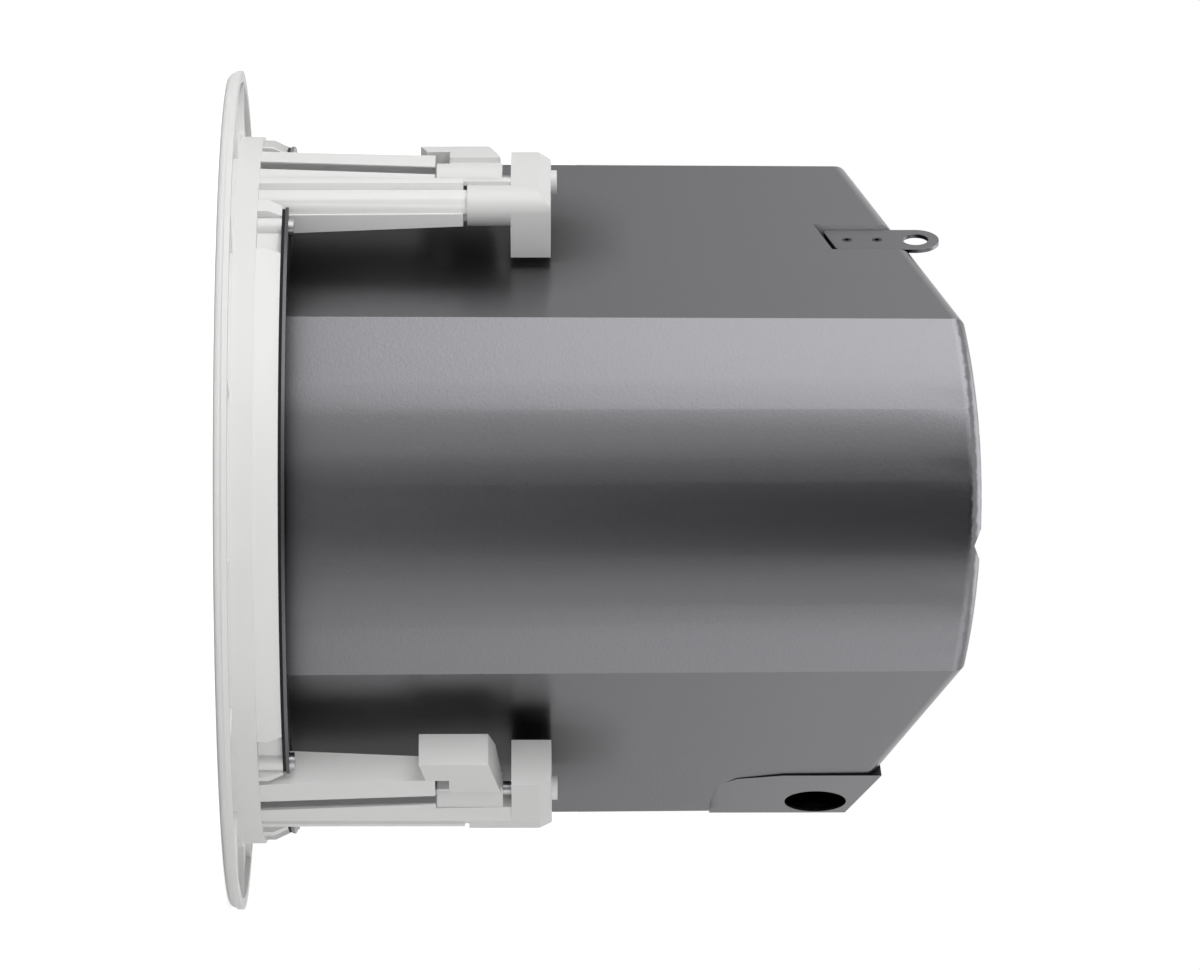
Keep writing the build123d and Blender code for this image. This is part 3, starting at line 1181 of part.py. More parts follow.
with BuildPart() as port_tube:
    with BuildSketch(axis_plane(PORT_AZIMUTH, COLLAR_HEIGHT)):
        with Locations((PORT_CIRCLE, 0)):
            Circle(PORT_RADIUS + PORT_FLANGE)
            Circle(PORT_RADIUS, mode=Mode.SUBTRACT)
    extrude(amount=PORT_WALL)
    with BuildSketch(axis_plane(PORT_AZIMUTH, COLLAR_HEIGHT)):
        with Locations((PORT_CIRCLE, 0)):
            Circle(PORT_RADIUS + PORT_WALL)
            Circle(PORT_RADIUS, mode=Mode.SUBTRACT)
    extrude(amount=PORT_LENGTH)
save(port_tube, "port_tube")

with BuildPart() as tap_switch:
    with BuildSketch(axis_plane(SELECTOR_AZIMUTH, COLLAR_HEIGHT)):
        with Locations((SELECTOR_CIRCLE, 0)):
            Rectangle(SWITCH_SIDE, SWITCH_SIDE)
            Circle(SPINDLE_RADIUS + SPINDLE_FIT, mode=Mode.SUBTRACT)
    extrude(amount=SWITCH_DEPTH)
save(tap_switch, "tap_switch")

with BuildPart() as tap_knob:
    with BuildSketch(axis_plane(SELECTOR_AZIMUTH, PLATE_BOTTOM)):
        with Locations((SELECTOR_CIRCLE, 0)):
            Circle(KNOB_RADIUS)
    extrude(amount=-KNOB_HEIGHT)
    with BuildSketch(axis_plane(SELECTOR_AZIMUTH, PLATE_BOTTOM - KNOB_HEIGHT)):
        with Locations((SELECTOR_CIRCLE, 0)):
            Rectangle(1.6 * KNOB_RADIUS, 1.4)
    extrude(amount=KNOB_HEIGHT / 3, mode=Mode.SUBTRACT)
    with BuildSketch(axis_plane(SELECTOR_AZIMUTH, PLATE_BOTTOM)):
        with Locations((SELECTOR_CIRCLE, 0)):
            Circle(SPINDLE_RADIUS)
    extrude(amount=PLATE_THICKNESS + SWITCH_DEPTH - 2)
save(tap_knob, "tap_knob")

# Pads of wadding on the inside of the three flats
for number, azimuth in enumerate(CLAMP_AZIMUTHS, start=1):
    with BuildPart() as damping_pad:
        with BuildSketch(axis_plane(azimuth, PAD_START_Z)):
            with Locations((FLAT_DISTANCE - PAD_THICKNESS, 0)):
                Rectangle(PAD_THICKNESS + CAN_RADIUS, PAD_WIDTH, align=(Align.MIN, Align.CENTER))
        extrude(amount=PAD_LENGTH)
        add(can_cavity.part, mode=Mode.INTERSECT)
    save(damping_pad, f"damping_pad_{number}")
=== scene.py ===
"""Looks of an in-ceiling speaker: finishes, pierced grille, studio and camera.

Everything is in metres in the part's own frame: +Z runs along the speaker's axis, from the grille into the
ceiling. The speaker stands on its grille, so the studio floor lies just under it.
"""

import json
import logging
import math
from dataclasses import dataclass
from enum import Enum

import bmesh
import bpy
from mathutils import Matrix, Vector

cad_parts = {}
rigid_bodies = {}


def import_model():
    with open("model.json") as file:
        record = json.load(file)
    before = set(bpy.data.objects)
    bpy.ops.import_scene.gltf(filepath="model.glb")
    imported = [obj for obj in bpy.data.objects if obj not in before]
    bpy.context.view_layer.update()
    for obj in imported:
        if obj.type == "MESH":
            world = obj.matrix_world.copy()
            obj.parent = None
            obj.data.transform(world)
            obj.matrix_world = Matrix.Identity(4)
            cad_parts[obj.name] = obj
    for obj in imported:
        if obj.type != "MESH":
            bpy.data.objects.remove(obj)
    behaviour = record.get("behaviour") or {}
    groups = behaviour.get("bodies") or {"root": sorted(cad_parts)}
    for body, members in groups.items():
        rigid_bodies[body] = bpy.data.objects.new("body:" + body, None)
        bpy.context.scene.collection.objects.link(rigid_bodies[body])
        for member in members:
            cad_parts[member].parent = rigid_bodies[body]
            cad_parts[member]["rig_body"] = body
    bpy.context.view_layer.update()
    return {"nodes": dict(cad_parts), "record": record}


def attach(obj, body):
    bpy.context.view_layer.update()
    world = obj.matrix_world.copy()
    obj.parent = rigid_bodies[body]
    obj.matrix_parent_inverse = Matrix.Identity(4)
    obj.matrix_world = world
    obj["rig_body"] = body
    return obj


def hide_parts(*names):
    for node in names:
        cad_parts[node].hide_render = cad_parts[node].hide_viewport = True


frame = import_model()

LOG = logging.getLogger("ceiling_speaker")
MM = 0.001
# Colour and steepness of the shade painted into a finish's colour next to other pieces, in place of the dark
# gaps that real paint mirrors.
PAINTED_SHADE_COLOUR = "0C0C0D"
PAINTED_SHADE_POWER = 2.5


class Weave(Enum):
    """How a surface was made, which decides the relief that the eye sees in it."""

    SMOOTH = "smooth"
    GRAINED = "grained"
    COATED = "coated"
    BRUSHED = "brushed"
    WOVEN = "woven"
    FIBROUS = "fibrous"


def linear(hex_colour: str) -> tuple[float, float, float, float]:
    """Turns an sRGB hex colour into linear light.

    Args:
        hex_colour: Six hex digits, such as "E8E8E6".

    Returns:
        Red, green, blue and an alpha of one, in linear light.
    """
    parts = [int(hex_colour[i : i + 2], 16) / 255.0 for i in (0, 2, 4)]
    values = [p / 12.92 if p <= 0.04045 else ((p + 0.055) / 1.055) ** 2.4 for p in parts]
    return (values[0], values[1], values[2], 1.0)


def node(
    tree: bpy.types.NodeTree,
    kind: str,
    settings: dict[str, object] | None = None,
    inputs: dict[int | str, object] | None = None,
) -> bpy.types.Node:
    """Adds one node to a tree with its settings, values and links.

    Args:
        tree: The shader or geometry tree that the node goes into.
        kind: The node's Blender type.
        settings: Attributes to set on the node.
        inputs: A value or an output socket for each input, by name or number.

    Returns:
        The new node.
    """
    made = tree.nodes.new(kind)
    for name, value in (settings or {}).items():
        setattr(made, name, value)
    for key, value in (inputs or {}).items():
        if isinstance(value, bpy.types.NodeSocket):
            tree.links.new(value, made.inputs[key])
        else:
            made.inputs[key].default_value = value
    return made


@dataclass(frozen=True)
class Finish:
    """One surface finish.

    Attributes:
        name: The material's plain name.
        colour: Its sRGB colour as hex.
        slot: The record's material slot it stands for.
        roughness: How matt it is, from 0 to 1.
        metallic: 1 for bare metal, otherwise 0.
        ior: Index of refraction of a coat or plastic.
        weave: How the surface was made.
        grain_mm: Size of the relief's grain, in millimetres.
        relief: Strength of the relief.
        mottle: How far the colour varies over the surface, from 0 to 1.
        sheen: Soft light at grazing angles, for cloth.
        painted_shade_mm: Reach of the shade painted into the colour next to other pieces, in millimetres, or
            0 for none.
    """

    name: str
    colour: str
    slot: str
    roughness: float = 0.5
    metallic: float = 0.0
    ior: float = 1.5
    weave: Weave = Weave.SMOOTH
    grain_mm: float = 1.0
    relief: float = 0.1
    mottle: float = 0.0
    sheen: float = 0.0
    painted_shade_mm: float = 0.0

    def material(self) -> bpy.types.Material:
        """Builds the material, or returns it if it has been built."""
        found = bpy.data.materials.get(self.name)
        if found:
            return found
        material = bpy.data.materials.new(self.name)
        material.use_nodes = True
        tree = material.node_tree
        tree.nodes.clear()
        place = node(tree, "ShaderNodeTexCoord").outputs["Object"]
        shader = node(
            tree,
            "ShaderNodeBsdfPrincipled",
            inputs={
                "Base Color": linear(self.colour),
                "Roughness": self.roughness,
                "Metallic": self.metallic,
            },
        )
        if not self.metallic:
            shader.inputs["IOR"].default_value = self.ior
        if self.sheen:
            shader.inputs["Sheen Weight"].default_value = self.sheen
            shader.inputs["Sheen Roughness"].default_value = 0.4
        if self.mottle:
            tree.links.new(self._mottled(tree, place), shader.inputs["Base Color"])
        # Painted shade: the base colour turns dark next to other pieces, standing in for the dark reflection
        # of the gaps.
        if self.painted_shade_mm:
            tree.links.new(self._painted_shade(tree), shader.inputs["Base Color"])
        if self.weave is not Weave.SMOOTH:
            height = self._height(tree, place)
            bump = node(
                tree,
                "ShaderNodeBump",
                inputs={"Strength": self.relief, "Distance": self.grain_mm * MM * 0.4, "Height": height},
            )
            tree.links.new(bump.outputs["Normal"], shader.inputs["Normal"])
        output = node(tree, "ShaderNodeOutputMaterial")
        tree.links.new(shader.outputs["BSDF"], output.inputs["Surface"])
        return material

    def _painted_shade(self, tree: bpy.types.NodeTree) -> bpy.types.NodeSocket:
        """Paints shade into the colour where pieces close it in, in place of the dark reflection that real
        paint shows there.

        Args:
            tree: The material's tree.

        Returns:
            The colour socket.
        """
        openness = node(
            tree, "ShaderNodeAmbientOcclusion", {"samples": 12}, {"Distance": self.painted_shade_mm * MM}
        ).outputs["AO"]
        depth = node(tree, "ShaderNodeMath", {"operation": "POWER"}, {0: openness, 1: PAINTED_SHADE_POWER})
        mix = node(
            tree,
            "ShaderNodeMix",
            {"data_type": "RGBA"},
            {0: depth.outputs[0], 6: linear(PAINTED_SHADE_COLOUR), 7: linear(self.colour)},
        )
        return mix.outputs[2]

    def _mottled(self, tree: bpy.types.NodeTree, place: bpy.types.NodeSocket) -> bpy.types.NodeSocket:
        """Varies the colour a little, as pigment and light wear do.

        Args:
            tree: The material's tree.
            place: Object coordinates.

        Returns:
            The colour socket.
        """
        cloud = node(
            tree, "ShaderNodeTexNoise", inputs={"Vector": place, "Scale": 1.0 / (18.0 * MM), "Detail": 4.0}
        )
        base = linear(self.colour)
        low = tuple(c * (1.0 - self.mottle) for c in base[:3]) + (1.0,)
        high = tuple(min(1.0, c * (1.0 + self.mottle)) for c in base[:3]) + (1.0,)
        mix = node(
            tree,
            "ShaderNodeMix",
            {"data_type": "RGBA"},
            {0: cloud.outputs["Fac"], 6: low, 7: high},
        )
        return mix.outputs[2]

    def _height(self, tree: bpy.types.NodeTree, place: bpy.types.NodeSocket) -> bpy.types.NodeSocket:
        """Makes the relief that the way of making leaves.

        Args:
            tree: The material's tree.
            place: Object coordinates.

        Returns:
            The height socket.
        """
        scale = 1.0 / (self.grain_mm * MM)
        if self.weave is Weave.BRUSHED:
            drawn = node(tree, "ShaderNodeMapping", inputs={"Vector": place, "Scale": (1.0, 1.0, 0.04)})
            lines = node(
                tree,
                "ShaderNodeTexNoise",
                inputs={"Vector": drawn.outputs["Vector"], "Scale": scale, "Detail": 3.0},
            )
            return lines.outputs["Fac"]
        if self.weave is Weave.WOVEN:
            warp = node(
                tree,
                "ShaderNodeTexWave",
                {"bands_direction": "X"},
                {"Vector": place, "Scale": scale / 6.28, "Distortion": 0.2},
            )
            weft = node(
                tree,
                "ShaderNodeTexWave",
                {"bands_direction": "Y"},
                {"Vector": place, "Scale": scale / 6.28, "Distortion": 0.2},
            )
            crossed = node(
                tree,
                "ShaderNodeMath",
                {"operation": "MAXIMUM"},
                {0: warp.outputs["Fac"], 1: weft.outputs["Fac"]},
            )
            return crossed.outputs[0]
        detail = {Weave.GRAINED: 3.0, Weave.COATED: 2.0, Weave.FIBROUS: 8.0}[self.weave]
        grain = node(
            tree,
            "ShaderNodeTexNoise",
            inputs={"Vector": place, "Scale": scale, "Detail": detail, "Roughness": 0.6},
        )
        return grain.outputs["Fac"]


# Moulded ABS with a fine spark-eroded grain: white, satin, light spreads softly over it.
MOULDED_ABS = Finish(
    "moulded_abs", "EEEEED", "white_plastic", roughness=0.46, ior=1.54,
    weave=Weave.GRAINED, grain_mm=0.5, relief=0.05,
)
# Nylon filled with glass fibre: a shade greyer than the baffle, a little cloudy.
FILLED_NYLON = Finish(
    "filled_nylon",
    "E4E4E3",
    "clamp_plastic",
    0.42,
    ior=1.53,
    weave=Weave.GRAINED,
    grain_mm=0.8,
    relief=0.06,
    mottle=0.02,
)
# Powder coat on the grille: white, very slightly dimpled.
WHITE_POWDER = Finish(
    "white_powder_coat", "F0F0EF", "white_paint", 0.45, ior=1.5, weave=Weave.COATED, grain_mm=0.7, relief=0.06
)
# Metallic grey powder coat on drawn steel: dark, satin, with a soft flake shine and a fine orange peel.
GREY_POWDER = Finish(
    "metallic_grey_powder_coat",
    "767679",
    "grey_paint",
    0.28,
    metallic=1.0,
    weave=Weave.COATED,
    grain_mm=0.9,
    relief=0.08,
    # Painted shade: the coat's colour darkens next to the clamps and other pieces, standing in for the dark
    # reflection of the gaps.
    painted_shade_mm=30.0,
)
# Steel plated with zinc and passivated: bright, cool, faintly streaked.
ZINC_STEEL = Finish(
    "zinc_plated_steel", "B9BABC", "zinc_steel", 0.32, metallic=1.0,
    weave=Weave.BRUSHED, grain_mm=0.4, relief=0.04,
)
# Black stoved enamel on pressed steel: an even semi-gloss.
BLACK_ENAMEL = Finish(
    "black_enamel", "1C1C1D", "dark_steel", 0.35, weave=Weave.COATED, grain_mm=0.8, relief=0.05
)
# Black polypropylene and phenolic mouldings: matt, faintly grained.
BLACK_MOULDING = Finish(
    "black_moulding", "202021", "black_plastic", 0.55, weave=Weave.GRAINED, grain_mm=0.5, relief=0.08
)
# Knitted acoustic cloth behind the grille: black, the knit just shows.
ACOUSTIC_CLOTH = Finish(
    "acoustic_cloth", "141415", "black_cloth", 0.9, weave=Weave.WOVEN, grain_mm=0.9, relief=0.4, sheen=0.3
)
# Nickel plating on small disc magnets: mirror-like with a warm tint.
NICKEL_PLATE = Finish("nickel_plate", "C9C6BF", "magnet_plating", 0.16, metallic=1.0)
# Closed-cell neoprene strip: soft black, open pores on its cut edge.
NEOPRENE = Finish("neoprene_foam", "161616", "foam", 0.85, weave=Weave.FIBROUS, grain_mm=0.7, relief=0.35)
# Epoxy board with green solder resist.
SOLDER_RESIST = Finish("solder_resist", "1E5A32", "board", 0.3, ior=1.55)
# Enamelled copper wire, wound in close layers.
ENAMELLED_COPPER = Finish(
    "enamelled_copper", "B4673A", "copper", 0.3, metallic=1.0, weave=Weave.BRUSHED, grain_mm=0.7, relief=0.3
)
# Stacked transformer laminations: dull dark steel, the cut edges in fine lines.
LAMINATIONS = Finish(
    "laminated_steel", "6E6E70", "core_steel", 0.5, metallic=1.0,
    weave=Weave.BRUSHED, grain_mm=0.5, relief=0.3,
)
# Polyester tape round the transformer's winding: yellow, glossy.
WINDING_TAPE = Finish("winding_tape", "D8B64A", "winding_tape", 0.3)
# Butyl rubber roll: matt black with a grey bloom.
BUTYL_RUBBER = Finish(
    "butyl_rubber", "1B1B1B", "rubber_roll", 0.6, weave=Weave.GRAINED, grain_mm=0.6, relief=0.05
)
# Pressed paper pulp, dyed black, its fibres just visible.
PAPER_PULP = Finish("paper_pulp", "28282A", "cone_pulp", 0.8, weave=Weave.FIBROUS, grain_mm=1.6, relief=0.3)
# Cotton cloth stiffened with resin: golden brown, woven.
RESIN_COTTON = Finish(
    "resin_cotton", "B08A4E", "spider_cloth", 0.75, weave=Weave.WOVEN, grain_mm=0.8, relief=0.4
)
# Thin rolled aluminium.
ALUMINIUM_FOIL = Finish("aluminium_foil", "C8C9CB", "aluminium_foil", 0.3, metallic=1.0)
# Sintered ferrite: nearly black, dull, its ground faces a little smoother.
SINTERED_FERRITE = Finish(
    "sintered_ferrite", "2B2B2C", "ferrite", 0.6, weave=Weave.GRAINED, grain_mm=0.6, relief=0.12
)
# Coated silk dome: black with a soft shine.
COATED_SILK = Finish(
    "coated_silk", "1F1F22", "dome_silk", 0.4, weave=Weave.WOVEN, grain_mm=0.5, relief=0.1, sheen=0.2
)
# Turned brass insert.
TURNED_BRASS = Finish("turned_brass", "C9A55C", "brass", 0.25, metallic=1.0)
# Polyester wadding: white, fluffy, no clear surface.
POLYESTER_WADDING = Finish(
    "polyester_wadding", "E6E6E2", "wadding", 0.95, weave=Weave.FIBROUS, grain_mm=4.0, relief=0.8, sheen=0.3
)

FINISHES: tuple[Finish, ...] = (
    MOULDED_ABS,
    FILLED_NYLON,
    WHITE_POWDER,
    GREY_POWDER,
    ZINC_STEEL,
    BLACK_ENAMEL,
    BLACK_MOULDING,
    ACOUSTIC_CLOTH,
    NICKEL_PLATE,
    NEOPRENE,
    SOLDER_RESIST,
    ENAMELLED_COPPER,
    LAMINATIONS,
    WINDING_TAPE,
    BUTYL_RUBBER,
    PAPER_PULP,
    RESIN_COTTON,
    ALUMINIUM_FOIL,
    SINTERED_FERRITE,
    COATED_SILK,
    TURNED_BRASS,
    POLYESTER_WADDING,
)


def finish_of(node_name: str) -> Finish:
    """Finds the finish for a CAD node from the record's slot for it.

    Args:
        node_name: A sub-part's name.

    Returns:
        The finish whose slot the record gives that sub-part.
    """
    slots = {entry["node"]: entry["material_slot"] for entry in frame["record"]["subparts"]}
    return next(finish for finish in FINISHES if finish.slot == slots[node_name])


def linked(name: str, mesh: bpy.types.Mesh) -> bpy.types.Object:
    """Puts a mesh into the scene as an object at the origin.

    Args:
        name: The object's name.
        mesh: Its mesh, already in place.

    Returns:
        The new object.
    """
    made = bpy.data.objects.new(name, mesh)
    bpy.context.scene.collection.objects.link(made)
    return made


def spun(name: str, profile: list[tuple[float, float]], steps: int) -> bpy.types.Mesh:
    """Turns a closed profile round the Z axis into a ring.

    Args:
        name: The mesh's name.
        profile: Radius and height of each corner, in millimetres, going round the section.
        steps: Number of segments round the axis.

    Returns:
        A closed ring with its faces pointing outwards.
    """
    mesh = bpy.data.meshes.new(name)
    count = len(profile)
    points = []
    for step in range(steps):
        turn = 2.0 * math.pi * step / steps
        points += [(r * MM * math.cos(turn), r * MM * math.sin(turn), z * MM) for r, z in profile]
    faces = []
    for step in range(steps):
        here, there = step * count, (step + 1) % steps * count
        for corner in range(count):
            following = (corner + 1) % count
            faces.append((here + corner, there + corner, there + following, here + following))
    mesh.from_pydata(points, [], faces)
    work = bmesh.new()
    work.from_mesh(mesh)
    bmesh.ops.recalc_face_normals(work, faces=work.faces)
    work.to_mesh(mesh)
    work.free()
    return mesh


@dataclass(frozen=True)
class TowerDraft:
    """The draft that lets the clamp towers out of the mould: both their sides close in towards the top.

    Attributes:
        azimuths_deg: Where the clamps stand round the axis.
        inner_mm: Distance of a tower's inner side from the axis.
        outer_mm: Distance of a tower's outer side from the axis.
        root_mm: Height of a tower's root.
        top_mm: Height of a tower's top.
        reach_mm: How far a tower reaches sideways from its azimuth.
        inner_shift_mm: How far the inner side moves out, at the root and at the top.
        outer_shift_mm: How far the outer side moves in, at the root and at the top.
        post_mm: Sideways reach of the round post, which stays because the cap's sleeve fits round it.
        slack_mm: How far outside its sides a point still counts as the tower's.
    """

    azimuths_deg: tuple[float, ...] = (90.0, 205.0, 335.0)
    inner_mm: float = 109.3
    outer_mm: float = 124.6
    root_mm: float = 16.6
    top_mm: float = 96.2
    reach_mm: float = 23.0
    inner_shift_mm: tuple[float, float] = (1.6, 3.4)
    outer_shift_mm: tuple[float, float] = (1.4, 2.7)
    post_mm: tuple[float, float] = (3.8, 17.0)
    slack_mm: float = 0.2

    def apply(self, mesh: bpy.types.Mesh) -> None:
        """Moves the towers' points in a mesh.

        Args:
            mesh: The baffle's mesh.
        """
        for azimuth in self.azimuths_deg:
            into = Matrix.Rotation(math.radians(-azimuth), 3, "Z")
            back = into.inverted()
            for point in mesh.vertices:
                local = into @ point.co / MM
                radius = math.hypot(local.x, local.y)
                if local.z < self.root_mm or abs(local.y) > self.reach_mm:
                    continue
                if local.x < self.inner_mm - self.slack_mm or radius > self.outer_mm + self.slack_mm:
                    continue
                if self.post_mm[0] < local.y < self.post_mm[1]:
                    continue
                up = min(1.0, (local.z - self.root_mm) / (self.top_mm - self.root_mm))
                out = max(0.0, min(1.0, (local.x - self.inner_mm) / (self.outer_mm - self.inner_mm)))
                inner = self.inner_shift_mm[0] + (self.inner_shift_mm[1] - self.inner_shift_mm[0]) * up
                outer = self.outer_shift_mm[0] + (self.outer_shift_mm[1] - self.outer_shift_mm[0]) * up
                local.x += inner * (1.0 - out) - outer * out
                point.co = back @ local * MM


@dataclass(frozen=True)
class PocketSlope:
    """The soft slope that the press leaves on one side of the safety tab's pocket in the can.

    Attributes:
        azimuth_deg: Where the tab stands round the axis.
        start_mm: Height above which the pocket lies.
        wall_mm: Sideways place of the pocket's wall, from its lowest to its highest.
        face_mm: Distance of the can's flat from the axis.
        depth_mm: Depth of the pocket under the flat.
        deepest: Depth to which the wall's points are looked for, in depths of the pocket.
        slope_mm: How far the wall's foot moves towards the tab.
    """

    azimuth_deg: float = 205.0
    start_mm: float = 200.0
    wall_mm: tuple[float, float] = (-16.2, -13.8)
    face_mm: float = 97.7
    depth_mm: float = 2.7
    deepest: float = 1.6
    slope_mm: float = 2.2

    def apply(self, mesh: bpy.types.Mesh) -> None:
        """Moves the wall's foot in the can's mesh.

        Args:
            mesh: The can's mesh.
        """
        into = Matrix.Rotation(math.radians(-self.azimuth_deg), 3, "Z")
        back = into.inverted()
        moved = 0
        for point in mesh.vertices:
            local = into @ point.co / MM
            down = (self.face_mm - local.x) / self.depth_mm
            on_wall = self.wall_mm[0] < local.y < self.wall_mm[1]
            if local.z > self.start_mm and 0.0 < down < self.deepest and on_wall:
                local.y += self.slope_mm * min(1.0, down)
                point.co = back @ local * MM
                moved += 1
        LOG.info("%d points of the pocket's wall moved", moved)


@dataclass
class EasedPiece:
    """A CAD node shown with its edges eased, as moulding and paint leave them.

    Attributes:
        node_name: The CAD node that it stands for.
        ease_mm: Width of the eased edge.
        steps: Segments across the eased edge.
        from_deg: Edges that turn by more than this are eased.
        draft: The draft or slope that its mould or press leaves, if any.
    """

    node_name: str
    ease_mm: float = 0.3
    steps: int = 2
    from_deg: float = 32.0
    draft: TowerDraft | PocketSlope | None = None

    def mesh(self) -> bpy.types.Mesh:
        """Copies the node's mesh with its loose triangles joined and its flat faces made whole."""
        work = bmesh.new()
        work.from_mesh(frame["nodes"][self.node_name].data)
        bmesh.ops.remove_doubles(work, verts=work.verts, dist=2e-6)
        bmesh.ops.dissolve_limit(
            work,
            angle_limit=math.radians(0.6),
            verts=work.verts,
            edges=work.edges,
            use_dissolve_boundaries=False,
        )
        copy = bpy.data.meshes.new(self.node_name + "_eased")
        work.to_mesh(copy)
        work.free()
        if self.draft:
            self.draft.apply(copy)
        copy.shade_smooth()
        copy.set_sharp_from_angle(angle=math.radians(self.from_deg))
        return copy

    def build(self) -> bpy.types.Object:
        """Makes the piece, gives it its finish and puts it in the node's place."""
        finish = finish_of(self.node_name)
        piece = linked(self.node_name + "_shown", self.mesh())
        piece.data.materials.clear()
        piece.data.materials.append(finish.material())
        bevel = piece.modifiers.new("eased_edges", "BEVEL")
        bevel.width = self.ease_mm * MM
        bevel.segments = self.steps
        bevel.limit_method = "ANGLE"
        bevel.angle_limit = math.radians(self.from_deg)
        bevel.use_clamp_overlap = True
        bevel.harden_normals = True
        flats = piece.modifiers.new("even_flats", "WEIGHTED_NORMAL")
        flats.mode = "FACE_AREA"
        flats.weight = 100
        flats.keep_sharp = True
        body = frame["nodes"][self.node_name]["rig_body"]
        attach(piece, body)
        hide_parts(self.node_name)
        return piece


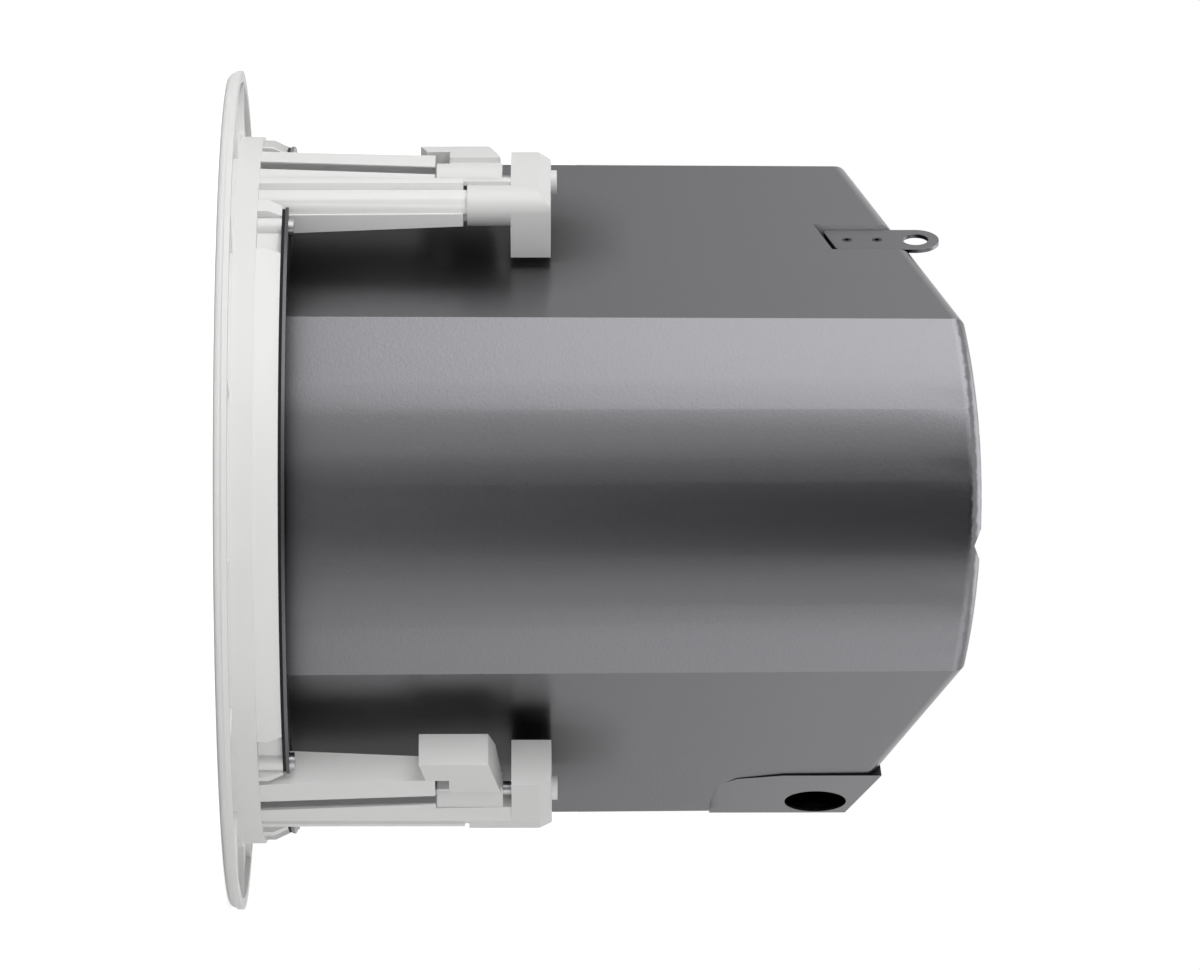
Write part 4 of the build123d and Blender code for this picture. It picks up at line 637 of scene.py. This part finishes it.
@dataclass
class PiercedGrille:
    """The grille: a pressed steel pan whose face is pierced all over with round holes.

    Attributes:
        radius_mm: Outside radius of the pan.
        front_mm: Height of the grille's front face.
        depth_mm: Depth of the pan's rim.
        sheet_mm: Thickness of the sheet.
        bend_mm: Outside radius of the bend at the rim.
        field_mm: Radius of the pierced field.
        pitch_mm: Distance between holes.
        hole_mm: Diameter of a hole.
        hole_sides: Sides that a hole is drawn with.
    """

    radius_mm: float = 149.4
    front_mm: float = -4.65
    depth_mm: float = 2.6
    sheet_mm: float = 1.0
    bend_mm: float = 2.4
    field_mm: float = 139.0
    pitch_mm: float = 5.6
    hole_mm: float = 3.3
    hole_sides: int = 12

    def pan(self) -> bpy.types.Mesh:
        """Makes the plain border with its bent rim."""
        cover = 0.02
        outer, front, back = self.radius_mm, self.front_mm, self.front_mm + self.depth_mm
        bend_r, bend_z = outer - self.bend_mm, front + self.bend_mm
        turns = [math.radians(-90.0 + 15.0 * step) for step in range(7)]
        face = [(bend_r + self.bend_mm * math.cos(t), bend_z + self.bend_mm * math.sin(t)) for t in turns]
        inner_bend = self.bend_mm - self.sheet_mm
        inside = [
            (bend_r + inner_bend * math.cos(t), bend_z + inner_bend * math.sin(t)) for t in reversed(turns)
        ]
        profile = [(self.field_mm, front), *face, (outer, back), (outer - self.sheet_mm, back), *inside]
        profile += [(self.field_mm, front + self.sheet_mm + cover)]
        return spun("grille_border", profile, 256)

    def cell(self, pierced: bool) -> bpy.types.Object:
        """Makes one six-sided cell of the sheet.

        Args:
            pierced: Whether the cell has its hole.

        Returns:
            The cell as an object.
        """
        work = bmesh.new()
        reach = self.pitch_mm / math.sqrt(3.0) * MM
        hole = self.hole_mm / 2.0 * MM
        low, high = (self.front_mm + 0.02) * MM, (self.front_mm + self.sheet_mm) * MM
        ring = []
        for side in range(self.hole_sides):
            turn = 2.0 * math.pi * side / self.hole_sides + math.pi / 6.0
            flat = reach if side % 2 == 0 else reach * math.cos(math.pi / 6.0)
            ring.append((turn, flat))
        if pierced:
            rows = []
            for height in (low, high):
                rows.append([work.verts.new((f * math.cos(t), f * math.sin(t), height)) for t, f in ring])
                rows.append(
                    [work.verts.new((hole * math.cos(t), hole * math.sin(t), height)) for t, f in ring]
                )
            for here in range(self.hole_sides):
                nxt = (here + 1) % self.hole_sides
                work.faces.new((rows[0][nxt], rows[0][here], rows[1][here], rows[1][nxt]))
                work.faces.new((rows[2][here], rows[2][nxt], rows[3][nxt], rows[3][here]))
                work.faces.new((rows[1][nxt], rows[1][here], rows[3][here], rows[3][nxt]))
        else:
            corners = ring[::2]
            for height, order in ((low, -1), (high, 1)):
                face = [work.verts.new((f * math.cos(t), f * math.sin(t), height)) for t, f in corners]
                work.faces.new(face[::order])
        mesh = bpy.data.meshes.new("grille_cell")
        work.to_mesh(mesh)
        work.free()
        return linked("grille_cell_pierced" if pierced else "grille_cell_plain", mesh)

    def tree(self, pierced: bpy.types.Object, plain: bpy.types.Object) -> bpy.types.NodeTree:
        """Builds the tree that lays cells out on a honeycomb.

        Args:
            pierced: The cell with a hole.
            plain: The cell without a hole, for the edge of the field.

        Returns:
            The geometry tree, with inputs for the pitch and the field's radius.
        """
        tree = bpy.data.node_groups.new("pierced_sheet", "GeometryNodeTree")
        face = tree.interface
        face.new_socket("Geometry", in_out="INPUT", socket_type="NodeSocketGeometry")
        face.new_socket("Pitch", in_out="INPUT", socket_type="NodeSocketFloat")
        face.new_socket("Field Radius", in_out="INPUT", socket_type="NodeSocketFloat")
        face.new_socket("Hole Radius", in_out="INPUT", socket_type="NodeSocketFloat")
        face.new_socket("Rows", in_out="INPUT", socket_type="NodeSocketInt")
        face.new_socket("Coat", in_out="INPUT", socket_type="NodeSocketMaterial")
        face.new_socket("Geometry", in_out="OUTPUT", socket_type="NodeSocketGeometry")
        given = node(tree, "NodeGroupInput")

        def maths(operation: str, first: object, second: object) -> bpy.types.NodeSocket:
            """Adds a sum of two values to the tree."""
            return node(tree, "ShaderNodeMath", {"operation": operation}, {0: first, 1: second}).outputs[0]

        pitch, rows = given.outputs["Pitch"], given.outputs["Rows"]
        line_gap = maths("MULTIPLY", pitch, math.sqrt(3.0) / 2.0)
        spans = maths("SUBTRACT", rows, 1.0)
        grid = node(
            tree,
            "GeometryNodeMeshGrid",
            inputs={
                "Size X": maths("MULTIPLY", spans, pitch),
                "Size Y": maths("MULTIPLY", spans, line_gap),
                "Vertices X": rows,
                "Vertices Y": rows,
            },
        )
        spot = node(tree, "GeometryNodeInputPosition").outputs[0]
        parts = node(tree, "ShaderNodeSeparateXYZ", inputs={0: spot})
        line = maths("ROUND", maths("DIVIDE", parts.outputs["Y"], line_gap), 0.0)
        odd = maths("ABSOLUTE", maths("MODULO", line, 2.0), 0.0)
        shift = node(
            tree,
            "ShaderNodeCombineXYZ",
            inputs={"X": maths("MULTIPLY", maths("MULTIPLY", odd, pitch), 0.5)},
        )
        moved = node(
            tree,
            "GeometryNodeSetPosition",
            inputs={"Geometry": grid.outputs["Mesh"], "Offset": shift.outputs[0]},
        )
        reach = node(tree, "ShaderNodeVectorMath", {"operation": "LENGTH"}, {0: spot}).outputs["Value"]
        whole = maths(
            "SUBTRACT", given.outputs["Field Radius"], maths("MULTIPLY", given.outputs["Hole Radius"], 1.2)
        )
        edge = maths("ADD", given.outputs["Field Radius"], maths("MULTIPLY", pitch, 0.6))
        inside = node(
            tree, "FunctionNodeCompare", {"operation": "LESS_THAN"}, {0: reach, 1: whole}
        ).outputs[0]
        beyond = node(tree, "FunctionNodeCompare", {"operation": "LESS_THAN"}, {0: reach, 1: edge}).outputs[0]
        border = node(
            tree,
            "FunctionNodeBooleanMath",
            {"operation": "AND"},
            {
                0: beyond,
                1: node(tree, "FunctionNodeBooleanMath", {"operation": "NOT"}, {0: inside}).outputs[0],
            },
        ).outputs[0]
        laid = []
        for choice, shape in ((inside, pierced), (border, plain)):
            source = node(tree, "GeometryNodeObjectInfo", inputs={"Object": shape})
            laid.append(
                node(
                    tree,
                    "GeometryNodeInstanceOnPoints",
                    inputs={
                        "Points": moved.outputs["Geometry"],
                        "Selection": choice,
                        "Instance": source.outputs["Geometry"],
                    },
                ).outputs["Instances"]
            )
        joined = node(tree, "GeometryNodeJoinGeometry")
        for instances in laid:
            tree.links.new(instances, joined.inputs[0])
        real = node(tree, "GeometryNodeRealizeInstances", inputs={0: joined.outputs[0]})
        merged = node(
            tree, "GeometryNodeMergeByDistance", inputs={"Geometry": real.outputs[0], "Distance": 0.02 * MM}
        )
        coated = node(
            tree,
            "GeometryNodeSetMaterial",
            inputs={"Geometry": merged.outputs[0], "Material": given.outputs["Coat"]},
        )
        result = node(tree, "NodeGroupOutput")
        tree.links.new(coated.outputs[0], result.inputs[0])
        return tree

    def field(self) -> bpy.types.Mesh:
        """Makes the pierced field as a plain mesh."""
        pierced, plain = self.cell(True), self.cell(False)
        tree = self.tree(pierced, plain)
        host = linked("grille_field_host", bpy.data.meshes.new("grille_field_host"))
        layer = host.modifiers.new("pierced_sheet", "NODES")
        layer.node_group = tree
        rows = 2 * int(self.field_mm / (self.pitch_mm * math.sqrt(3.0) / 2.0)) + 5
        values = {
            "Pitch": self.pitch_mm * MM,
            "Field Radius": self.field_mm * MM,
            "Hole Radius": self.hole_mm / 2.0 * MM,
            "Rows": rows,
            "Coat": WHITE_POWDER.material(),
        }
        for item in tree.interface.items_tree:
            if item.in_out == "INPUT" and item.name in values:
                layer[item.identifier] = values[item.name]
        made = bpy.data.meshes.new_from_object(host.evaluated_get(bpy.context.evaluated_depsgraph_get()))
        host.modifiers.remove(layer)
        for spent in (host, pierced, plain):
            bpy.data.objects.remove(spent)
        return made

    def build(self) -> bpy.types.Object:
        """Joins the field and the border into one pan in the grille's place."""
        work = bmesh.new()
        work.from_mesh(self.field())
        work.from_mesh(self.pan())
        mesh = bpy.data.meshes.new("grille_pierced")
        work.to_mesh(mesh)
        work.free()
        mesh.materials.clear()
        mesh.materials.append(WHITE_POWDER.material())
        for polygon in mesh.polygons:
            polygon.material_index = 0
        mesh.shade_smooth()
        mesh.set_sharp_from_angle(angle=math.radians(30.0))
        piece = linked("grille_shown", mesh)
        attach(piece, "speaker")
        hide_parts("grille")
        return piece


class PlainPieces:
    """The CAD nodes that are shown as they are, each with its own finish."""

    def build(self, skipped: set[str]) -> int:
        """Gives each remaining node its finish.

        Args:
            skipped: Nodes that another piece stands for.

        Returns:
            How many nodes were dressed.
        """
        count = 0
        for name, shown in frame["nodes"].items():
            if name in skipped:
                continue
            shown.data.materials.clear()
            shown.data.materials.append(finish_of(name).material())
            count += 1
        return count


@dataclass
class Studio:
    """White floor and backdrop, large soft lights, two fills that the can doesn't mirror, and the camera.

    Attributes:
        lens_mm: Focal length on a 36 mm wide sensor.
        distance_mm: Distance from the camera to the speaker's axis.
        height_mm: Height at which the camera looks.
        turn_deg: How far the camera stands round from the can's long side.
        rise_mm: How far the axis lies below the picture's middle.
        roll: The picture's small tilt, in radians.
        floor_mm: Height of the floor.
        card_m: Distance of the dark card behind the camera.
        card_upper_m: How far the card reaches towards the picture's top.
        card_lower_m: How far the card reaches towards the picture's bottom.
        card_ends_m: Where the card's ends lie along the axis.
    """

    lens_mm: float = 261.9
    distance_mm: float = 3125.0
    height_mm: float = 127.4
    turn_deg: float = 1.14
    rise_mm: float = 1.75
    roll: float = 0.0014
    floor_mm: float = -4.75
    card_m: float = 3.6
    card_upper_m: float = 0.6
    card_lower_m: float = 1.5
    card_ends_m: tuple[float, float] = (-2.5, 3.5)

    def camera(self) -> bpy.types.Object:
        """Sets the camera so that the speaker lies on its side, as in the photograph."""
        turn = math.radians(self.turn_deg)
        back = Vector((-math.sin(turn), -math.cos(turn), 0.0))
        right = Vector((0.0, 0.0, 1.0))
        up = back.cross(right)
        leaning = Matrix.Rotation(-self.roll, 3, back)
        right, up = leaning @ right, leaning @ up
        data = bpy.data.cameras.new("photograph")
        data.lens = self.lens_mm
        data.sensor_width = 36.0
        data.clip_start, data.clip_end = 0.1, 50.0
        made = bpy.data.objects.new("photograph", data)
        bpy.context.scene.collection.objects.link(made)
        place = (
            back * self.distance_mm * MM + Vector((0.0, 0.0, self.height_mm * MM)) + up * self.rise_mm * MM
        )
        axes = Matrix((right, up, back)).transposed().to_4x4()
        made.matrix_world = Matrix.Translation(place) @ axes
        bpy.context.scene.camera = made
        return made

    def lamp(
        self, name: str, place: Vector, width: float, height: float, power: float, mirrored: bool = True
    ) -> bpy.types.Object:
        """Adds a large soft light that faces the speaker.

        Args:
            name: The light's name.
            place: Where it stands, in metres.
            width: Its width, in metres.
            height: Its height, in metres.
            power: Its power, in watts.
            mirrored: Whether the can's shine shows it.

        Returns:
            The light.
        """
        data = bpy.data.lights.new(name, "AREA")
        data.shape = "RECTANGLE"
        data.size, data.size_y = width, height
        data.energy = power
        made = bpy.data.objects.new(name, data)
        bpy.context.scene.collection.objects.link(made)
        target = Vector((0.0, 0.0, 0.12))
        made.location = place
        made.rotation_euler = (place - target).to_track_quat("Z", "Y").to_euler()
        made.visible_glossy = mirrored
        return made

    def lights(self) -> None:
        """Places the lights above and below the can in the picture, with a gap behind the camera."""
        self.lamp("upper_softbox", Vector((-2.18, -1.42, 0.13)), 2.8, 5.0, 88.0)
        self.lamp("lower_softbox", Vector((2.3, -1.1, 0.13)), 2.2, 5.0, 25.0)
        self.lamp("overhead_softbox", Vector((0.0, 0.8, 2.6)), 2.0, 2.0, 20.0)
        self.lamp("upper_fill", Vector((-1.8, -2.2, 0.13)), 1.5, 3.0, 26.0, mirrored=False)
        self.lamp("lower_fill", Vector((1.8, -2.2, 0.13)), 1.5, 3.0, 29.0, mirrored=False)

    def backdrop(self) -> None:
        """Makes the world white where the camera or a reflection sees it, and dim as a light."""
        world = bpy.data.worlds.new("studio")
        bpy.context.scene.world = world
        world.use_nodes = True
        tree = world.node_tree
        tree.nodes.clear()
        path = node(tree, "ShaderNodeLightPath")
        seen = node(
            tree,
            "ShaderNodeMath",
            {"operation": "MAXIMUM"},
            {0: path.outputs["Is Camera Ray"], 1: path.outputs["Is Transmission Ray"]},
        )
        shown = node(
            tree,
            "ShaderNodeMath",
            {"operation": "MAXIMUM"},
            {0: seen.outputs[0], 1: path.outputs["Is Glossy Ray"]},
        )
        strength = node(
            tree, "ShaderNodeMapRange", inputs={"Value": shown.outputs[0], "To Min": 0.15, "To Max": 1.0}
        )
        light = node(
            tree,
            "ShaderNodeBackground",
            inputs={"Color": (1.0, 1.0, 1.0, 1.0), "Strength": strength.outputs["Result"]},
        )
        tree.links.new(light.outputs[0], node(tree, "ShaderNodeOutputWorld").inputs["Surface"])

    def dark_card(self) -> bpy.types.Object:
        """Stands a dark card behind the camera, which the can mirrors as a dark band between the lights."""
        mesh = bpy.data.meshes.new("dark_card")
        near, low, high = -self.card_m, -self.card_upper_m, self.card_lower_m
        left, right = self.card_ends_m
        corners = [(low, near, left), (high, near, left), (high, near, right), (low, near, right)]
        mesh.from_pydata(corners, [], [(0, 1, 2, 3)])
        mesh.materials.append(Finish("black_felt", "0B0B0B", "", roughness=1.0).material())
        made = linked("dark_card", mesh)
        made.visible_camera = False
        made.visible_shadow = False
        return made

    def floor(self) -> bpy.types.Object:
        """Lays a pale floor under the grille that keeps the speaker's shadow."""
        mesh = bpy.data.meshes.new("floor")
        half, height = 60.0, self.floor_mm * MM
        corners = [(-half, -half, height), (half, -half, height), (half, half, height), (-half, half, height)]
        mesh.from_pydata(corners, [], [(0, 1, 2, 3)])
        material = bpy.data.materials.new("studio_floor")
        material.use_nodes = True
        tree = material.node_tree
        tree.nodes.clear()
        path = node(tree, "ShaderNodeLightPath")
        place = node(tree, "ShaderNodeTexCoord").outputs["Object"]
        reach = node(tree, "ShaderNodeVectorMath", {"operation": "LENGTH"}, {0: place}).outputs["Value"]
        falloff = node(
            tree,
            "ShaderNodeMapRange",
            inputs={"Value": reach, "From Min": 0.2, "From Max": 1.2, "To Min": 0.55, "To Max": 1.0},
        )
        glow = node(
            tree,
            "ShaderNodeMath",
            {"operation": "MULTIPLY"},
            {0: falloff.outputs["Result"], 1: path.outputs["Is Camera Ray"]},
        )
        shader = node(
            tree,
            "ShaderNodeBsdfPrincipled",
            inputs={
                "Base Color": linear("F4F4F4"),
                "Roughness": 0.9,
                "Emission Color": (1.0, 1.0, 1.0, 1.0),
                "Emission Strength": glow.outputs[0],
            },
        )
        tree.links.new(shader.outputs[0], node(tree, "ShaderNodeOutputMaterial").inputs["Surface"])
        mesh.materials.append(material)
        made = linked("floor", mesh)
        return made

    def build(self) -> None:
        """Sets up the whole studio."""
        self.camera()
        self.lights()
        self.backdrop()
        self.dark_card()
        self.floor()
        bpy.context.scene.view_settings.view_transform = "Standard"


def main() -> None:
    """Dresses the speaker and sets up the studio, and reports each piece."""
    logging.basicConfig(level=logging.INFO, format="%(message)s")
    eased = [
        EasedPiece("baffle", 0.25, draft=TowerDraft()),
        EasedPiece("back_can", from_deg=25.0, draft=PocketSlope()),
    ]
    eased += [EasedPiece(f"clamp_dog_{number}", 0.3) for number in (1, 2, 3)]
    eased += [EasedPiece(f"clamp_cap_{number}", 0.45) for number in (1, 2, 3)]
    eased += [EasedPiece("safety_tab", 0.12)]
    for piece in eased:
        made = piece.build()
        LOG.info("%s eased by %.2f mm", made.name, piece.ease_mm)
    grille = PiercedGrille().build()
    LOG.info("%s has %d faces", grille.name, len(grille.data.polygons))
    dressed = PlainPieces().build({piece.node_name for piece in eased} | {"grille"})
    LOG.info("%d further pieces dressed", dressed)
    Studio().build()


if __name__ == "__main__":
    main()
